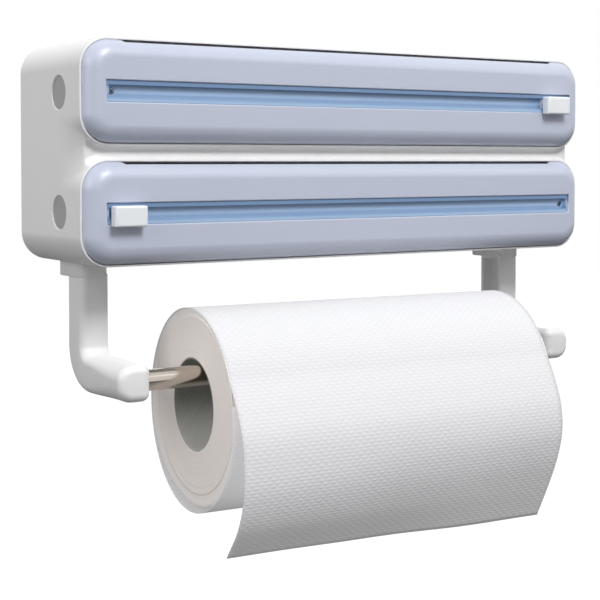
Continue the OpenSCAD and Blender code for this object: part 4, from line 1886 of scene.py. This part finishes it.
    def loose_layers(self) -> None:
        """Makes the slack layers between the tight paper and the outer sheet.

        They lie against the outer sheet, except low at the back, where it hangs away from them.
        """
        turn = circle(self.angles)
        outer = self.wrap_radius(turn) - self.sheet_t - self.loose_under
        away = np.clip(1 - np.abs(np.degrees(turn) - self.away_deg[0]) / self.away_deg[1], 0, 1)
        outer = outer - self.away * away**2 * (3 - 2 * away)
        outer = np.maximum(outer, self.loose_in + self.loose_least)
        seed = np.random.default_rng(self.loose_seed)
        shares = np.linspace(0, 1, self.loose_rows)
        half = self.length / 2 - self.lip_deep - self.loose_end
        uneven = seed.normal(0, self.loose_spread, (2, len(shares)))
        uneven = np.clip(uneven, -self.loose_most, self.loose_most)
        rows = []
        for sign, order, lift in ((-1, shares, uneven[0]), (1, shares[::-1], uneven[1])):
            for share, rise in zip(order, lift):
                radius = self.loose_in + share * (outer - self.loose_in)
                side = sign * (half + rise)
                rows.append(self.world(side, radius * np.cos(turn), radius * np.sin(turn)))
        ring = Tube(np.array(rows), ring=True)
        piece = mesh_object("loose_layers", *join_tubes(ring), self.finishes["loose"])
        place_piece(piece, Body.CASE)

    def wrap_path(self) -> np.ndarray:
        """Draws the wrap round the roll.

        Returns:
            Places to the front and up from the roll's middle.
        """
        start, end = self.wrap_deg
        step = self.wrap_step_deg
        angle = np.radians(np.arange(start, end + step / 2, step))
        ahead = -self.wrap_back + self.wrap_half[0] * np.cos(angle)
        above = -self.wrap_down - self.wrap_half[1] * np.sin(angle)
        return np.stack([ahead, above], axis=-1)

    def tail_path(self, marks: Sequence[Pair]) -> np.ndarray:
        """Draws a smooth hanging line from the end of the wrap through marks.

        Args:
            marks: Places to the front and up that the line passes.

        Returns:
            Points of the line, after the wrap's last one.
        """
        wrap = self.wrap_path()
        knots = np.vstack([wrap[-3], wrap[-1], np.array(marks)])
        gaps = np.linalg.norm(np.diff(knots, axis=0), axis=1) ** 0.5
        times = np.concatenate([[0], np.cumsum(gaps)])
        slopes = np.gradient(knots, times, axis=0)
        wanted = np.linspace(times[1], times[-1], self.tail_steps + 1)[1:]
        line = []
        for t in wanted:
            k = min(int(np.searchsorted(times, t, side="right")) - 1, len(times) - 2)
            h = times[k + 1] - times[k]
            x = (t - times[k]) / h
            line.append(
                (2 * x**3 - 3 * x**2 + 1) * knots[k]
                + (x**3 - 2 * x**2 + x) * h * slopes[k]
                + (3 * x**2 - 2 * x**3) * knots[k + 1]
                + (x**3 - x**2) * h * slopes[k + 1]
            )
        return np.array(line)

    def hanging_sheet(self) -> None:
        """Makes the outer sheet: once round the roll, then down in front of it."""
        left, right = (
            np.vstack([self.wrap_path(), self.tail_path(marks)])[:, None]
            for marks in (self.left_tail, self.right_tail)
        )
        columns = self.sheet_columns
        share = np.linspace(0, 1, columns)
        side = (share - 0.5) * self.length
        ease = (share**2 * (3 - 2 * share))[None, :, None]
        path = left * (1 - ease) + right * ease
        steps = np.linalg.norm(np.diff(path.mean(1), axis=0), axis=1)
        run = np.concatenate([[0], np.cumsum(steps)])
        start = run[-self.tail_steps - 1]
        hang = np.clip((run - start) / (run[-1] - start), 0, 1)
        ripple = sum(high * np.sin(share * wave + phase) for high, wave, phase in self.ripples)
        path[..., 0] += (hang**self.ripple_power)[:, None] * ripple[None, :]
        ahead = np.gradient(path, axis=0)
        normal = np.stack([ahead[..., 1], -ahead[..., 0]], axis=-1)
        normal /= np.linalg.norm(normal, axis=-1, keepdims=True)
        inner = path + self.sheet_t * normal
        outside, inside = (
            self.world(side[None, :], layer[..., 0], layer[..., 1]) for layer in (path, inner)
        )
        tube = Tube(np.concatenate([outside, inside[:, ::-1]], axis=1))
        faces = tube.quads()
        last = (len(path) - 1) * 2 * columns
        for k in range(columns - 1):
            quad = (k, k + 1, 2 * columns - 2 - k, 2 * columns - 1 - k)
            faces += [quad, tuple(last + corner for corner in reversed(quad))]
        across = np.concatenate([share, share[::-1]]) * self.length * MM
        uvs = np.stack(np.meshgrid(across, run * MM), axis=-1).reshape(-1, 2)
        piece = mesh_object("hanging_sheet", tube.rows, faces, self.finishes["tissue"], uvs)
        place_piece(piece, Body.CASE, ["paper_tail"])


@dataclass(frozen=True)
class SoftLamp:
    """Large square lamp: its place, its width and its power in watts."""

    name: str
    at: Triple
    size: float
    power: float
    towards: Triple = (0.0, -60.0, -60.0)

    def hang(self) -> None:
        """Puts the lamp in the scene."""
        data = bpy.data.lights.new(self.name, "AREA")
        data.shape = "SQUARE"
        data.size = self.size * MM
        data.energy = self.power
        lamp = link_object(self.name, data)
        lamp.location = Vector(self.at) * MM
        aim = Vector(self.towards) - Vector(self.at)
        lamp.rotation_euler = aim.to_track_quat("-Z", "Y").to_euler()


@dataclass
class Studio:
    """Camera, plain pale floor and soft light.

    The lens is shifted, so the camera's axis meets the picture axis_px below its upper edge.
    """

    camera_at: Triple = (-524.0, -825.3, -4.6)
    yaw_deg: float = 33.11
    pitch_deg: float = 2.0
    focal_px: float = 1385.3
    axis_px: float = 208.8
    image_px: float = 600.0
    sensor: float = 36.0
    floor_z: float = -760.0
    floor_half: float = 6000.0
    sky_below: float = 0.04
    sky_above: float = 0.94
    sky_power: float = 3.2
    lamps: tuple[SoftLamp, ...] = (
        SoftLamp("key_light", (-50, -1470, 1315), 650, 25.0),
        SoftLamp("left_light", (-1700, -450, 600), 1000, 9.2),
        SoftLamp("right_light", (1200, -1200, 800), 900, 3.3, (100, -60, -60)),
        SoftLamp("back_light", (1300, 1500, 220), 1000, 10.5),
    )

    def build(self) -> None:
        """Makes the stage, the lights and the camera."""
        self.world_light()
        self.floor()
        for lamp in self.lamps:
            lamp.hang()
        self.camera()

    def world_light(self) -> None:
        """Lights the scene softly from above, and shows plain white behind it."""
        world = bpy.data.worlds.new("studio_white")
        bpy.context.scene.world = world
        world.use_nodes = True
        world.node_tree.nodes.clear()
        add = partial(add_node, world.node_tree)
        path = add("ShaderNodeLightPath")
        seen = path.outputs["Is Camera Ray"]
        for ray in ("Is Glossy Ray", "Is Transmission Ray"):
            seen = add(
                "ShaderNodeMath", {0: seen, 1: path.outputs[ray]}, operation="MAXIMUM"
            ).outputs[0]
        aim = add("ShaderNodeTexCoord").outputs["Generated"]
        height = add("ShaderNodeSeparateXYZ", {0: aim}).outputs[2]
        rise = add("ShaderNodeMapRange", {"Value": height, "From Min": -1.0})
        steep = add("ShaderNodeMath", {0: rise.outputs[0], 1: self.sky_power}, operation="POWER")
        sky = add(
            "ShaderNodeMapRange",
            {"Value": steep.outputs[0], "To Min": self.sky_below, "To Max": self.sky_above},
        )
        strength = add(
            "ShaderNodeMapRange", {"Value": seen, "To Min": sky.outputs[0], "To Max": 1.0}
        )
        glow = add("ShaderNodeBackground", {"Color": WHITE, "Strength": strength.outputs[0]})
        add("ShaderNodeOutputWorld", {"Surface": glow.outputs[0]})

    def floor(self) -> None:
        """Lays a wide pale floor far below the dispenser."""
        half = self.floor_half
        corners = np.array([[-half, -half], [half, -half], [half, half], [-half, half]])
        points = np.column_stack([corners, np.full(4, self.floor_z)])
        mesh_object("floor", points, [(0, 1, 2, 3)], FLOOR_PAINT.make())

    def camera(self) -> None:
        """Stands the camera where the photograph was taken from."""
        data = bpy.data.cameras.new("camera")
        data.sensor_width = self.sensor
        data.lens = self.focal_px / self.image_px * self.sensor
        data.shift_y = (self.axis_px - self.image_px / 2) / self.image_px
        camera = link_object("camera", data)
        camera.location = Vector(self.camera_at) * MM
        tilt, yaw = math.radians(90 - self.pitch_deg), math.radians(self.yaw_deg)
        camera.rotation_euler = (tilt, 0.0, -yaw)
        bpy.context.scene.camera = camera


def main() -> None:
    """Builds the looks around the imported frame."""
    logging.basicConfig(level=logging.INFO, format="%(name)s: %(message)s")
    for leftover in list(bpy.data.objects):
        bpy.data.objects.remove(leftover)
    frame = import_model()
    bpy.context.scene.view_settings.view_transform = "Standard"
    CadDressing(frame["nodes"]).dress()
    SnapLatches(frame["nodes"]).build()
    CoverLips().build()
    SupportArms().build()
    Hardware().build()
    KitchenRoll().build()
    Studio().build()


if __name__ == "__main__":
    main()
